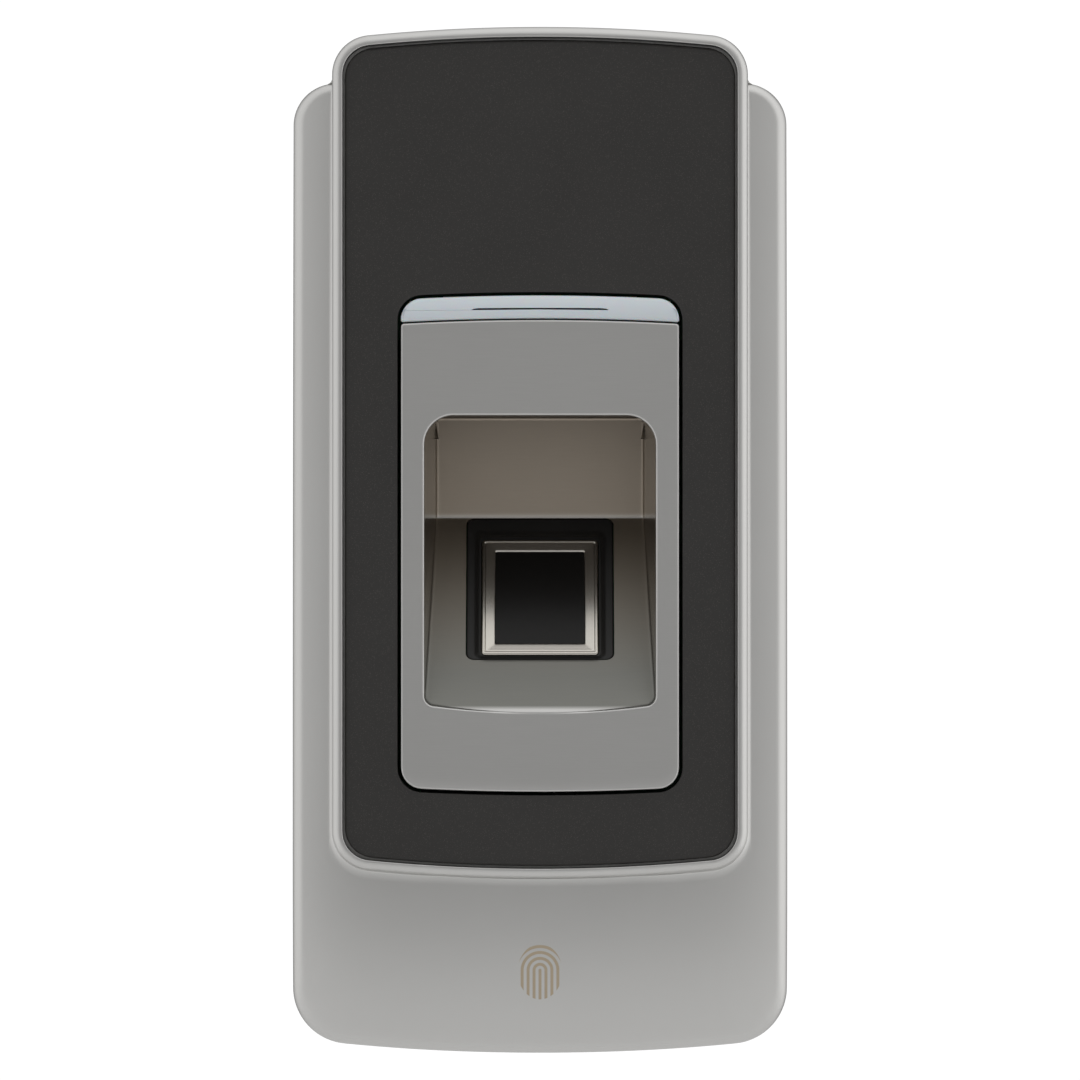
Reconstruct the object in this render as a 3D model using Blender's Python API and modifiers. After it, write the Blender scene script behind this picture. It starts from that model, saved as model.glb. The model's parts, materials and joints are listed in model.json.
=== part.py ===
"""Wall-mounted fingerprint scanner terminal.

Frame: the wall is the plane y = 0, the front faces -Y, +X is to the right and +Z is up.
The origin is the centre of the wall bracket's back face. Depths are distances from the wall.
"""
import math

import bmesh
import bpy
from mathutils import Matrix, Vector

MM = 0.001
GAP = 0.3 * MM              # working gap between neighbouring pieces

# Overall body
BODY_WIDTH = 60.0 * MM
BODY_HEIGHT = 124.2 * MM
BODY_DEPTH = 35.0 * MM
WALL = 2.0 * MM             # die-cast housing wall
EDGE_ROUND = 1.2 * MM       # rounding of the housing's front edge
TOP = BODY_HEIGHT / 2
BOTTOM = -BODY_HEIGHT / 2

# Lower shell: two side wings and the chin
WING_DROP = 6.5 * MM        # wing tops below the top of the raised body
WING_RADIUS = 5.0 * MM
CHIN_RADIUS = 6.8 * MM
CHIN_SAG = 1.0 * MM         # bow of the bottom edge
CROWN_STEP = 1.0 * MM       # shell crown below the rim
CROWN_LIFT = 24.0 * MM      # height of the crown line above the bottom edge
SIDE_FALL = 3.6 * MM        # fall of the shell from the middle to each side
SIDE_POWER = 3              # how late that fall comes: 2 is a parabola
WING_FALL = 4.5 * MM        # fall of the shell from the crown line to the wing tops
CHIN_FALL = 4.0 * MM        # fall of the shell from the crown line to the bottom edge

# Raised body with its rim, and the recess for the panel
RIM_INSET = 4.9 * MM        # rim edge inside the shell edge
RIM_WIDTH = 1.25 * MM
RIM_ROUND = 0.5 * MM
RIM_DRAFT = 0.6 * MM        # widening of the raised body at the wall
RIM_RADIUS = 4.8 * MM
RIM_SAG = 0.97 * MM
CHIN_HEIGHT = 21.3 * MM     # bottom edge to the rim's lower edge
LEDGE_WIDTH = 1.95 * MM     # ledge that the panel rests on
LEDGE_THICKNESS = 1.4 * MM

# Panel, its gasket and the opening in it
PANEL_SETBACK = 0.6 * MM    # panel face behind the rim
PANEL_THICKNESS = 1.6 * MM
PANEL_ROUND = 0.35 * MM
PANEL_SKIN = 0.7 * MM       # left in front of the panel's blind screw holes
GASKET_THICKNESS = 0.5 * MM
GASKET_WIDTH = 1.1 * MM

# Finger guide and light bar
GUIDE_WIDTH = 33.6 * MM
GUIDE_TOP = 26.7 * MM
GUIDE_BOTTOM = -30.3 * MM
GUIDE_RADIUS = 2.6 * MM
GUIDE_SAG = 0.35 * MM
GUIDE_SETBACK = 0.3 * MM    # guide face behind the rim
GUIDE_PLATE = 1.6 * MM
GUIDE_EDGE = 0.25 * MM
LENS_HEIGHT = 2.7 * MM
LENS_DEPTH = 3.3 * MM
LENS_GAP = 0.25 * MM
LENS_SETBACK = 0.1 * MM     # lens behind the guide's face
CREST_RADIUS = 0.3 * MM     # corners where the guide and the lens meet
CREST_SAG = 0.47 * MM       # bow of the line between them
DIFFUSER_DEPTH = 2.3 * MM
DIFFUSER_INSET = 1.0 * MM
DIFFUSER_FOOT = 0.2 * MM
DIFFUSER_HEAD = 0.6 * MM
OPENING_GAP = 0.4 * MM      # gap round the guide and the lens

# Finger pocket: a right-angled V with the sensor on its lower slope
POCKET_WIDTH = 27.9 * MM
POCKET_TOP = 15.14 * MM
POCKET_BOTTOM = -20.7 * MM
POCKET_DEPTH = 17.3 * MM
POCKET_SLOPE = math.radians(36.3)
POCKET_TOP_RADIUS = 3.5 * MM  # upper corners of the opening in the guide's face
POCKET_LIP = 0.8 * MM       # thickness of the face there
POCKET_CORNER = 0.6 * MM    # upper corners behind the lip
POCKET_FOOT_RADIUS = 1.2 * MM
POCKET_SAG = 0.8 * MM
POCKET_DRAFT = 1.35 * MM    # narrowing of each side over the full depth
POCKET_WALL = 1.2 * MM

# Sensor, measured along the slope and out from it
SENSOR_CENTRE = 16.8 * MM   # distance up the slope from the pocket's front edge
DIE_WIDTH = 10.8 * MM
DIE_LENGTH = 13.5 * MM
DIE_THICKNESS = 1.0 * MM
DIE_SINK = 0.1 * MM
RING_BAND = 1.4 * MM
RING_RISE = 0.8 * MM
BOOT_SIDE = 1.8 * MM        # boot beyond the ring at each side
BOOT_FOOT = 0.8 * MM        # boot below the ring
BOOT_HEAD = 3.4 * MM        # boot above the ring
BOOT_RISE = 0.6 * MM
BOOT_THICKNESS = 1.9 * MM
CARRIER_THICKNESS = 1.0 * MM
CARRIER_MARGIN = 0.8 * MM

# Rear cover, main board and what stands on it
COVER_REAR = 4.0 * MM
COVER_THICKNESS = 2.0 * MM
COVER_FOOT = 16.1 * MM      # cover's lower edge above the bottom edge
STANDOFF_HEIGHT = 3.7 * MM
BOARD_THICKNESS = 1.6 * MM
BOARD_WIDTH = 41.0 * MM
BOARD_HEAD = 5.6 * MM       # board's upper edge below the wing tops
BOARD_FOOT = 4.2 * MM       # board's lower edge above the bracket's tab
BOARD_SCREW_INSET = 3.0 * MM
COVER_SCREW_INSET = 4.5 * MM
BOSS_RADIUS = 2.4 * MM
SCREW_RADIUS = 0.9 * MM
SCREW_HEAD = 1.9 * MM
SCREW_HEAD_HEIGHT = 0.8 * MM
HOLE_CLEARANCE = 0.35 * MM

# Board behind the upper panel, with the status lamps
FRONT_BOARD_DEPTH = 26.5 * MM
FRONT_BOARD_THICKNESS = 1.0 * MM
FRONT_BOARD_WIDTH = 41.0 * MM
FRONT_BOARD_HEAD = 5.1 * MM   # board's upper edge below the body's top
FRONT_BOARD_FOOT = 2.5 * MM   # board's lower edge below the light bar
FRONT_SCREW_INSET = 3.5 * MM
FRONT_SCREW_DROP = 7.0 * MM
LED_PITCH = 10.0 * MM
LED_SIZE = (3.5 * MM, 2.8 * MM)

# Wall bracket
BRACKET_THICKNESS = 1.5 * MM
BRACKET_WIDTH = 50.0 * MM
BRACKET_HEAD_RADIUS = 4.0 * MM
BRACKET_FOOT_RADIUS = CHIN_RADIUS + 0.7 * MM
BRACKET_HEAD = 3.6 * MM     # bracket's upper edge below the wing tops
TAB_CLEARANCE = 0.4 * MM    # tab above the housing's floor at full lift
WINDOW_WIDTH = 30.0 * MM
WINDOW_TOP = -6.0 * MM
WINDOW_HEIGHT = 31.0 * MM
WALL_SCREW_PITCH = 83.3 * MM
WALL_SCREW_RADIUS = 2.2 * MM
WALL_SLOT_LENGTH = 8.0 * MM
SLOT_ROUND = 0.99           # corner radius of a slot as a share of its half height
HOOK_X = 10.3 * MM
HOOK_Z = 39.5 * MM          # top of the hook's neck, which carries the terminal
HOOK_WIDTH = 8.0 * MM
HOOK_LIP = 5.0 * MM
HOOK_PLAY = 3.1 * MM        # slot beyond the hook's lip, so that the hook can enter it
LIFT = 6.0 * MM             # travel up to lift the terminal off the hooks
TAB_REACH = 14.0 * MM
TAB_WIDTH = 14.0 * MM

# Tamper switch and security screw
TAMPER_X = 9.0 * MM
TAMPER_DROP = 9.0 * MM      # plunger below the window's upper edge
PLUNGER_RADIUS = 1.3 * MM
PLUNGER_TRAVEL = 1.5 * MM
SWITCH_SIZE = 6.0 * MM
SECURITY_DEPTH = 9.5 * MM
SECURITY_RADIUS = 1.5 * MM
SECURITY_HEAD = 2.8 * MM
SECURITY_HEAD_HEIGHT = 0.7 * MM
SECURITY_SINK = 0.05 * MM

# Harness header in the cable window
HEADER_WIDTH = 22.0 * MM
HEADER_HEIGHT = 6.0 * MM
HEADER_RISE = 7.0 * MM      # header above the window's lower edge

# Flat cables and their connectors
FLEX_CONNECTOR = 2.0 * MM
FLEX_Z = -22.0 * MM
FRONT_FLEX_DROP = 8.0 * MM
FLEX_THICKNESS = 0.3 * MM

# Screws, ears and posts
SEAM = 0.4 * MM             # how far joined solids run into each other
EAR_REACH = 2.2 * MM        # ear screws beyond the panel's opening
EAR_WIDTH = 4.0 * MM
EAR_HEIGHT = 4.4 * MM
EAR_THICKNESS = 1.5 * MM
EAR_HEAD = 5.5 * MM         # upper ears below the guide's top
EAR_FOOT = 4.5 * MM         # lower ears above the guide's bottom
EAR_DROP = 1.7 * MM         # ears behind the panel
EAR_SCREW_HEAD = 1.7 * MM
RIB_WIDTH = 2.0 * MM
PAD_RADIUS = 1.8 * MM
POST_RADIUS = 2.0 * MM
FRONT_SCREW_LENGTH = 5.0 * MM
STANDOFF_RADIUS = 2.3 * MM
STANDOFF_FLOOR = 0.8 * MM   # depth of a standoff's hole into the cover
COVER_SCREW_LENGTH = 6.0 * MM
BOSS_HOLE = 8.0 * MM
SCREW_SIDES = 12

# Sensor's outlines: corner radii, and the boot's collar beyond the ring at foot and crown
DIE_RADIUS = 0.15 * MM
DIE_HOLE_RADIUS = 0.2 * MM
RING_RADIUS = 0.5 * MM
RING_BEVEL = 0.25 * MM
BOOT_RADIUS = 0.8 * MM
CARRIER_RADIUS = 1.0 * MM
COLLAR_FOOT = (2.2 * MM, 1.5 * MM)
COLLAR_CROWN = (1.2 * MM, 1.1 * MM)

# Circuit boards: corner radius, and for each component its x, height and size
BOARD_RADIUS = 2.0 * MM
PROCESSOR_DROP = 20.0 * MM  # centres below the board's upper edge
MEMORY_DROP = 17.0 * MM
RELAY_RISE = 13.0 * MM      # centres above the board's lower edge
BUZZER_RISE = 11.0 * MM
CAPACITOR_RISES = (15.0 * MM, 7.0 * MM)
PROCESSOR = (-6.0 * MM, (14.0 * MM, 1.4 * MM, 14.0 * MM))
MEMORY = (11.0 * MM, (8.0 * MM, 1.2 * MM, 10.0 * MM))
RELAY = (-9.5 * MM, (10.0 * MM, 11.0 * MM, 15.5 * MM))
SENSOR_SOCKET = (12.0 * MM, FLEX_CONNECTOR, 4.0 * MM)
FRONT_SOCKET = (10.0 * MM, FLEX_CONNECTOR, 4.0 * MM)
BUZZER = (11.0 * MM, 4.8 * MM, 5.5 * MM)       # x, radius, height
CAPACITOR = (3.0 * MM, 2.5 * MM, 7.0 * MM)
LED_COUNT = 3
HEADER_WALL = 0.8 * MM
HEADER_SETBACK = 0.4 * MM                      # header behind the cover's rear face
HEADER_FLOOR = 1.2 * MM
PLUNGER_TIP = (0.1 * MM, 0.6 * MM)             # start and end of the chamfered tip

# Flat cables: widths, and the bends that lead them into their connectors
SENSOR_CABLE_WIDTH = 8.0 * MM
FRONT_CABLE_WIDTH = 6.0 * MM
SENSOR_CABLE_START = -8.0 * MM                 # down the slope from the sensor's centre
CABLE_LEAD = 4.0 * MM
CABLE_BEND = 3.0 * MM

# Wall bracket's fixing holes
WALL_HOLE_X = 20.0 * MM
WALL_HOLE_Z = 46.0 * MM
SCREW_TIP = 2.0 * MM        # security screw beyond the tab

# Facets
CORNER_STEPS = 6
CROWN_STEPS = 8
ROUND_STEPS = 3
SIDE_STEPS = 10
CABLE_STEPS = 4
SHELL_SCALES = (0.93, 0.85, 0.7, 0.5, 0.2, 0.02)
HOLE_SIDES = 16

# Depths that follow from the values above
PANEL_FACE = BODY_DEPTH - PANEL_SETBACK
PANEL_REAR = PANEL_FACE - PANEL_THICKNESS
LEDGE_FACE = PANEL_REAR - GASKET_THICKNESS - 2 * GAP
LEDGE_REAR = LEDGE_FACE - LEDGE_THICKNESS
GUIDE_FACE = BODY_DEPTH - GUIDE_SETBACK
GUIDE_REAR = GUIDE_FACE - GUIDE_PLATE
COVER_FACE = COVER_REAR + COVER_THICKNESS
BOARD_REAR = COVER_FACE + STANDOFF_HEIGHT + GAP
BOARD_FACE = BOARD_REAR + BOARD_THICKNESS
LENS_REAR = GUIDE_FACE - LENS_DEPTH
DIFFUSER_REAR = LENS_REAR - GAP - DIFFUSER_DEPTH
RIM_HALF = BODY_WIDTH / 2 - RIM_INSET
RIM_BOTTOM = BOTTOM + CHIN_HEIGHT
WING_TOP = TOP - WING_DROP
CROWN_Z = BOTTOM + CROWN_LIFT
LENS_BOTTOM = GUIDE_TOP + LENS_GAP
LENS_TOP = LENS_BOTTOM + LENS_HEIGHT
SLOPE_LENGTH = POCKET_DEPTH / math.sin(POCKET_SLOPE)
CREASE_Z = POCKET_BOTTOM + SLOPE_LENGTH * math.cos(POCKET_SLOPE)
RING_WIDTH = DIE_WIDTH + 2 * (RING_BAND + GAP)
RING_LENGTH = DIE_LENGTH + 2 * (RING_BAND + GAP)
BOOT_WIDTH = RING_WIDTH + 2 * BOOT_SIDE
BOOT_LENGTH = RING_LENGTH + BOOT_FOOT + BOOT_HEAD
BOOT_OFFSET = (BOOT_HEAD - BOOT_FOOT) / 2
CARRIER_FACE = -(BOOT_THICKNESS + GAP)
COVER_BOTTOM = BOTTOM + COVER_FOOT
COVER_SCREW_X = BODY_WIDTH / 2 - WALL - BOSS_RADIUS - 2 * GAP - 0.3 * MM
COVER_SCREW_Z = (WING_TOP - WALL - 2 * BOSS_RADIUS - 2.8 * MM, COVER_BOTTOM + COVER_SCREW_INSET)
BRACKET_TOP = WING_TOP - BRACKET_HEAD
BRACKET_BOTTOM = BOTTOM + WALL + LIFT + TAB_CLEARANCE
WINDOW_BOTTOM = WINDOW_TOP - WINDOW_HEIGHT
TAMPER_Z = WINDOW_TOP - TAMPER_DROP
HEADER = ((-HEADER_WIDTH / 2, WINDOW_BOTTOM + HEADER_RISE),
          (HEADER_WIDTH / 2, WINDOW_BOTTOM + HEADER_RISE + HEADER_HEIGHT))
BOARD_TOP = WING_TOP - BOARD_HEAD
BOARD_BOTTOM = BRACKET_BOTTOM + BRACKET_THICKNESS + BOARD_FOOT
BOARD_SCREW_X = BOARD_WIDTH / 2 - BOARD_SCREW_INSET
BOARD_SCREW_Z = (BOARD_TOP - 2 * BOARD_SCREW_INSET, BOARD_BOTTOM + 2 * BOARD_SCREW_INSET)
FRONT_BOARD_TOP = TOP - FRONT_BOARD_HEAD
FRONT_BOARD_BOTTOM = LENS_BOTTOM - FRONT_BOARD_FOOT
FRONT_SCREW_X = FRONT_BOARD_WIDTH / 2 - FRONT_SCREW_INSET
FRONT_SCREW_Z = FRONT_BOARD_TOP - FRONT_SCREW_DROP
EAR_FACE = PANEL_REAR - EAR_DROP
EAR_REAR = EAR_FACE - EAR_THICKNESS
EAR_X = GUIDE_WIDTH / 2 + OPENING_GAP + EAR_REACH


def clear_scene():
    for item in list(bpy.data.objects):
        bpy.data.objects.remove(item, do_unlink=True)
    for group in list(bpy.data.collections):
        bpy.data.collections.remove(group)


def make_collection(name):
    group = bpy.data.collections.new(name)
    bpy.context.scene.collection.children.link(group)
    return group


def make_material(name, colour, roughness, metallic=0.0):
    material = bpy.data.materials.new(name)
    material.use_nodes = True
    shader = material.node_tree.nodes["Principled BSDF"]
    shader.inputs["Base Color"].default_value = (*colour, 1.0)
    shader.inputs["Roughness"].default_value = roughness
    shader.inputs["Metallic"].default_value = metallic
    material.diffuse_color = (*colour, 1.0)
    return material


def make_object(name, mesh, group):
    item = bpy.data.objects.new(name, mesh)
    group.objects.link(item)
    return item


def finish_mesh(name, mesh_builder):
    """Give a bmesh outward faces and turn it into a mesh."""
    bmesh.ops.recalc_face_normals(mesh_builder, faces=mesh_builder.faces)
    mesh = bpy.data.meshes.new(name)
    mesh_builder.to_mesh(mesh)
    mesh_builder.free()
    return mesh


def box_mesh(name, size):
    builder = bmesh.new()
    bmesh.ops.create_cube(builder, size=1.0)
    bmesh.ops.scale(builder, vec=size, verts=builder.verts)
    return finish_mesh(name, builder)


def rod_mesh(name, radii, stations, sides=HOLE_SIDES):
    """A stepped rod along local -Y: one radius for each pair of neighbouring stations."""
    builder = bmesh.new()
    profile = []
    for radius, start, end in zip(radii, stations, stations[1:]):
        profile += [(radius, start), (radius, end)]
    rings = []
    for radius, depth in profile:
        angles = [2 * math.pi * step / sides for step in range(sides)]
        rings.append([builder.verts.new((radius * math.cos(a), -depth, radius * math.sin(a)))
                      for a in angles])
    bridge_rings(builder, rings)
    return finish_mesh(name, builder)


def bridge_rings(builder, rings):
    """Join neighbouring rings with quads and close both ends."""
    for lower, upper in zip(rings, rings[1:]):
        for index in range(len(lower)):
            after = (index + 1) % len(lower)
            builder.faces.new((lower[index], lower[after], upper[after], upper[index]))
    builder.faces.new(rings[0])
    builder.faces.new(rings[-1])


def loft(name, rings, group):
    """A closed solid through rings of 3-D points that run the same way round."""
    builder = bmesh.new()
    bridge_rings(builder, [[builder.verts.new(point) for point in ring] for ring in rings])
    return make_object(name, finish_mesh(name, builder), group)


def arc_points(centre_x, centre_z, radius, start, end, steps):
    points = []
    for step in range(steps + 1):
        angle = start + (end - start) * step / steps
        points.append((centre_x + radius * math.cos(angle), centre_z + radius * math.sin(angle)))
    return points


def end_points(half_width, height, radius, sag):
    """Right half of a bowed end: the corner arc, then the crown arc up to the middle."""
    half_chord = half_width - radius
    if sag <= 0:
        corner = arc_points(half_chord, height - radius, radius, 0, math.pi / 2, CORNER_STEPS)
        return corner + [(half_chord * (1 - 2 * step / CROWN_STEPS), height)
                         for step in range(1, CROWN_STEPS // 2 + 1)]
    crown = (half_chord ** 2 + sag ** 2) / (2 * sag)
    crown_z = height - crown
    corner_z = crown_z + math.sqrt((crown - radius) ** 2 - half_chord ** 2)
    tangent = math.atan2(corner_z - crown_z, half_chord)
    corner = arc_points(half_chord, corner_z, radius, 0, tangent, CORNER_STEPS)
    return corner + arc_points(0, crown_z, crown, tangent, math.pi / 2, CROWN_STEPS // 2)[1:]


def outline(half_width, top, bottom, top_radius, bottom_radius, top_sag=0.0, bottom_sag=0.0,
            side_steps=1):
    """Rounded rectangle with bowed ends, counter-clockwise from the front, as (x, z) points."""
    upper = end_points(half_width, top, top_radius, top_sag)
    lower = end_points(half_width, -bottom, bottom_radius, bottom_sag)
    left_top = [(-x, z) for x, z in reversed(upper[:-1])]
    left_bottom = [(-x, -z) for x, z in lower]
    right_bottom = [(x, -z) for x, z in reversed(lower[:-1])]
    side_top, side_bottom = upper[0][1], -lower[0][1]
    heights = [side_bottom + (side_top - side_bottom) * step / side_steps
               for step in range(1, side_steps)]
    left_side = [(-half_width, z) for z in reversed(heights)]
    right_side = [(half_width, z) for z in heights]
    return upper + left_top + left_side + left_bottom + right_bottom + right_side


def turning_points(points):
    """The points of a closed outline where it changes direction."""
    kept = []
    for before, here, after in zip(points[-1:] + points[:-1], points, points[1:] + points[:1]):
        step_in = Vector(here) - Vector(before)
        step_out = Vector(after) - Vector(here)
        if abs(step_in.cross(step_out)) > 1e-4 * step_in.length * step_out.length:
            kept.append(here)
    return kept


def flat_solid(name, outlines, rear, front, group):
    """A flat outline, with holes where more outlines follow, between two depths from the wall."""
    curve = bpy.data.curves.new(name, "CURVE")
    curve.dimensions = "2D"
    curve.fill_mode = "BOTH"
    curve.extrude = (front - rear) / 2
    for points in map(turning_points, outlines):
        spline = curve.splines.new("POLY")
        spline.points.add(len(points) - 1)
        spline.use_cyclic_u = True
        for point, (x, z) in zip(spline.points, points):
            point.co = (x, z, 0, 1)
    drawn = make_object(name + "_outline", curve, group)
    drawn.matrix_world = (Matrix.Translation((0, -(front + rear) / 2, 0))
                          @ Matrix.Rotation(math.pi / 2, 4, "X"))
    bpy.context.view_layer.update()
    mesh = bpy.data.meshes.new_from_object(drawn.evaluated_get(bpy.context.evaluated_depsgraph_get()))
    builder = bmesh.new()
    builder.from_mesh(mesh)
    bmesh.ops.remove_doubles(builder, verts=builder.verts, dist=1e-6)
    bmesh.ops.recalc_face_normals(builder, faces=builder.faces)
    builder.to_mesh(mesh)
    builder.free()
    mesh.name = name
    solid = make_object(name, mesh, group)
    solid.matrix_world = drawn.matrix_world
    bpy.data.objects.remove(drawn)
    return solid


def place(item, location, rotation_x=0.0):
    item.location = location
    item.rotation_euler = (rotation_x, 0, 0)
    return item


def boolean(target, tool, operation):
    step = target.modifiers.new(operation.lower() + "_" + tool.name, "BOOLEAN")
    step.operation = operation
    step.solver = "EXACT"
    step.object = tool
    tool.hide_render = True
    tool.display_type = "WIRE"


def cut(target, tool):
    boolean(target, tool, "DIFFERENCE")


def join(target, tool):
    boolean(target, tool, "UNION")


def box_between(name, low, high, group):
    """A box from its lowest x, depth and z to its highest, with depths from the wall."""
    size = tuple(b - a for a, b in zip(low, high))
    item = make_object(name, box_mesh(name, size), group)
    centre = [(a + b) / 2 for a, b in zip(low, high)]
    return place(item, (centre[0], -centre[1], centre[2]))


def rod_at(name, x, z, radii, stations, group, sides=HOLE_SIDES):
    """A stepped rod square to the wall; its origin is on its axis at the wall."""
    return place(make_object(name, rod_mesh(name, radii, stations, sides), group), (x, 0, z))


def upright_rod(name, x, depth, radii, stations, group, sides=HOLE_SIDES):
    """A stepped vertical rod; stations are heights."""
    rod = make_object(name, rod_mesh(name, radii, stations, sides), group)
    return place(rod, (x, -depth, 0), -math.pi / 2)


def smooth(item):
    item.data.shade_smooth()
    item.data.set_sharp_from_angle(angle=math.radians(30))
    return item


def soften(item, width, segments=1):
    step = item.modifiers.new("edge", "BEVEL")
    step.width = width
    step.segments = segments
    step.limit_method = "ANGLE"
    step.angle_limit = math.radians(50)
    return item


def shell_depth(x, z):
    """Depth of the curved front of the wings and the chin."""
    depth = BODY_DEPTH - CROWN_STEP - SIDE_FALL * abs(2 * x / BODY_WIDTH) ** SIDE_POWER
    if z > CROWN_Z:
        return depth - WING_FALL * ((z - CROWN_Z) / (WING_TOP - CROWN_Z)) ** 2
    return depth - CHIN_FALL * ((z - CROWN_Z) / CROWN_LIFT) ** 2


def shell_outline(inset):
    return outline(BODY_WIDTH / 2 - inset, WING_TOP - inset, BOTTOM + inset,
                   WING_RADIUS - inset, CHIN_RADIUS - inset, 0.0, CHIN_SAG, SIDE_STEPS)


def rim_outline(inset):
    return outline(RIM_HALF - inset, TOP - inset, RIM_BOTTOM + inset,
                   RIM_RADIUS - inset, RIM_RADIUS - inset, RIM_SAG, RIM_SAG)


def body_outline(inset):
    """The raised body at the wall, a little wider than its rim."""
    return outline(RIM_HALF + RIM_DRAFT - inset, TOP - inset, RIM_BOTTOM + inset,
                   RIM_RADIUS - inset, RIM_RADIUS - inset, RIM_SAG, RIM_SAG)


def shell_rings(inset, rounding, depth_at, rear):
    """Rings of the wing and chin block: wall, rounded edge, then inwards over the front."""
    edge = shell_outline(inset)
    rings = [[(x, -rear, z) for x, z in edge]]
    for step in range(ROUND_STEPS + 1):
        angle = math.pi / 2 * step / ROUND_STEPS
        sunk = rounding * (1 - math.sin(angle))
        ring = shell_outline(inset + rounding * (1 - math.cos(angle)))
        rings.append([(x, -(depth_at(x, z) - sunk), z) for x, z in ring])
    inner = shell_outline(inset + rounding)
    centre_z = (WING_TOP + BOTTOM) / 2
    for scale in SHELL_SCALES:
        ring = [(x * scale, centre_z + (z - centre_z) * scale) for x, z in inner]
        rings.append([(x, -depth_at(x, z), z) for x, z in ring])
    return rings


def rim_rings():
    rings = [[(x, -GAP, z) for x, z in body_outline(0)]]
    for step in range(ROUND_STEPS + 1):
        angle = math.pi / 2 * step / ROUND_STEPS
        ring = rim_outline(RIM_ROUND * (1 - math.cos(angle)))
        depth = BODY_DEPTH - RIM_ROUND * (1 - math.sin(angle))
        rings.append([(x, -depth, z) for x, z in ring])
    return rings


def make_housing(parts, tools):
    housing = loft("front_housing", shell_rings(0, EDGE_ROUND, shell_depth, GAP), parts)
    join(housing, loft("raised_body", rim_rings(), tools))

    def cavity_depth(x, z):
        return min(shell_depth(x, z) - WALL, LEDGE_REAR)

    outside = -10 * MM
    cut(housing, loft("shell_cavity", shell_rings(WALL, EDGE_ROUND / 2, cavity_depth, outside), tools))
    cut(housing, loft("body_cavity", [[(x, -depth, z) for x, z in body_outline(WALL)]
                                      for depth in (outside, LEDGE_REAR)], tools))
    cut(housing, flat_solid("panel_recess", [rim_outline(RIM_WIDTH)], LEDGE_FACE,
                            BODY_DEPTH + WALL, tools))
    cut(housing, flat_solid("ledge_opening", [rim_outline(RIM_WIDTH + LEDGE_WIDTH)],
                            LEDGE_REAR - WALL, BODY_DEPTH, tools))
    for number, (x, z) in enumerate(corner_places(COVER_SCREW_X, COVER_SCREW_Z), 1):
        top = cavity_depth(x, z) + WALL / 2
        join(housing, rod_at("boss_%d" % number, x, z, [BOSS_RADIUS], [COVER_FACE + GAP, top], tools))
        cut(housing, rod_at("boss_hole_%d" % number, x, z, [SCREW_RADIUS + HOLE_CLEARANCE],
                            [0, COVER_FACE + BOSS_HOLE], tools, SCREW_SIDES))
    bore = upright_rod("security_hole", 0, SECURITY_DEPTH,
                       [SECURITY_HEAD + HOLE_CLEARANCE, SECURITY_RADIUS + HOLE_CLEARANCE],
                       [BOTTOM - WALL, BOTTOM + SECURITY_HEAD_HEIGHT + GAP, BOTTOM + 2 * WALL], tools)
    cut(housing, bore)
    return housing


def corner_places(x, heights):
    return [(side * x, z) for z in heights for side in (-1, 1)]


def opening_outline():
    half = GUIDE_WIDTH / 2 + OPENING_GAP
    return outline(half, LENS_TOP + OPENING_GAP, GUIDE_BOTTOM - OPENING_GAP,
                   GUIDE_RADIUS + OPENING_GAP, GUIDE_RADIUS + OPENING_GAP, GUIDE_SAG, GUIDE_SAG)


def ear_places():
    return corner_places(EAR_X, (GUIDE_TOP - EAR_HEAD, GUIDE_BOTTOM + EAR_FOOT))


def make_panel(parts, tools):
    panel = flat_solid("front_panel", [rim_outline(RIM_WIDTH + GAP), opening_outline()],
                       PANEL_REAR, PANEL_FACE, parts)
    soften(panel, PANEL_ROUND, 2)
    for number, (x, z) in enumerate(ear_places(), 1):
        join(panel, rod_at("pad_%d" % number, x, z, [PAD_RADIUS],
                           [EAR_FACE + GAP, PANEL_REAR + SEAM], tools))
        cut(panel, rod_at("pad_hole_%d" % number, x, z, [SCREW_RADIUS + HOLE_CLEARANCE],
                          [EAR_REAR, PANEL_FACE - PANEL_SKIN], tools, SCREW_SIDES))
    for number, (x, z) in enumerate(corner_places(FRONT_SCREW_X, (FRONT_SCREW_Z,)), 1):
        foot = FRONT_BOARD_DEPTH + GAP
        join(panel, rod_at("post_%d" % number, x, z, [POST_RADIUS], [foot, PANEL_REAR + SEAM], tools))
        cut(panel, rod_at("post_hole_%d" % number, x, z, [SCREW_RADIUS + HOLE_CLEARANCE],
                          [FRONT_BOARD_DEPTH - GAP, foot + FRONT_SCREW_LENGTH], tools, SCREW_SIDES))
    return panel


def make_gasket(parts):
    inset = RIM_WIDTH + 2 * GAP
    return flat_solid("panel_gasket", [rim_outline(inset), rim_outline(inset + GASKET_WIDTH)],
                      LEDGE_FACE + GAP, LEDGE_FACE + GAP + GASKET_THICKNESS, parts)


def make_lens(parts, tools):
    half = GUIDE_WIDTH / 2
    lens = flat_solid("indicator_lens",
                      [outline(half, LENS_TOP, LENS_BOTTOM - CREST_SAG, GUIDE_RADIUS, CREST_RADIUS,
                               GUIDE_SAG)], LENS_REAR, GUIDE_FACE - LENS_SETBACK, parts)
    reach = half + WALL
    bow = CREST_SAG * (reach / half) ** 2
    cut(lens, flat_solid("crest_cut", [outline(reach, LENS_BOTTOM, GUIDE_BOTTOM, CREST_RADIUS,
                                               CREST_RADIUS, bow)],
                         LENS_REAR - WALL, GUIDE_FACE + WALL, tools))
    inner = half - DIFFUSER_INSET
    diffuser = box_between("light_diffuser", (-inner, DIFFUSER_REAR, LENS_BOTTOM + DIFFUSER_FOOT),
                           (inner, LENS_REAR - GAP, LENS_TOP - DIFFUSER_HEAD), parts)
    return lens, diffuser


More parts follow.
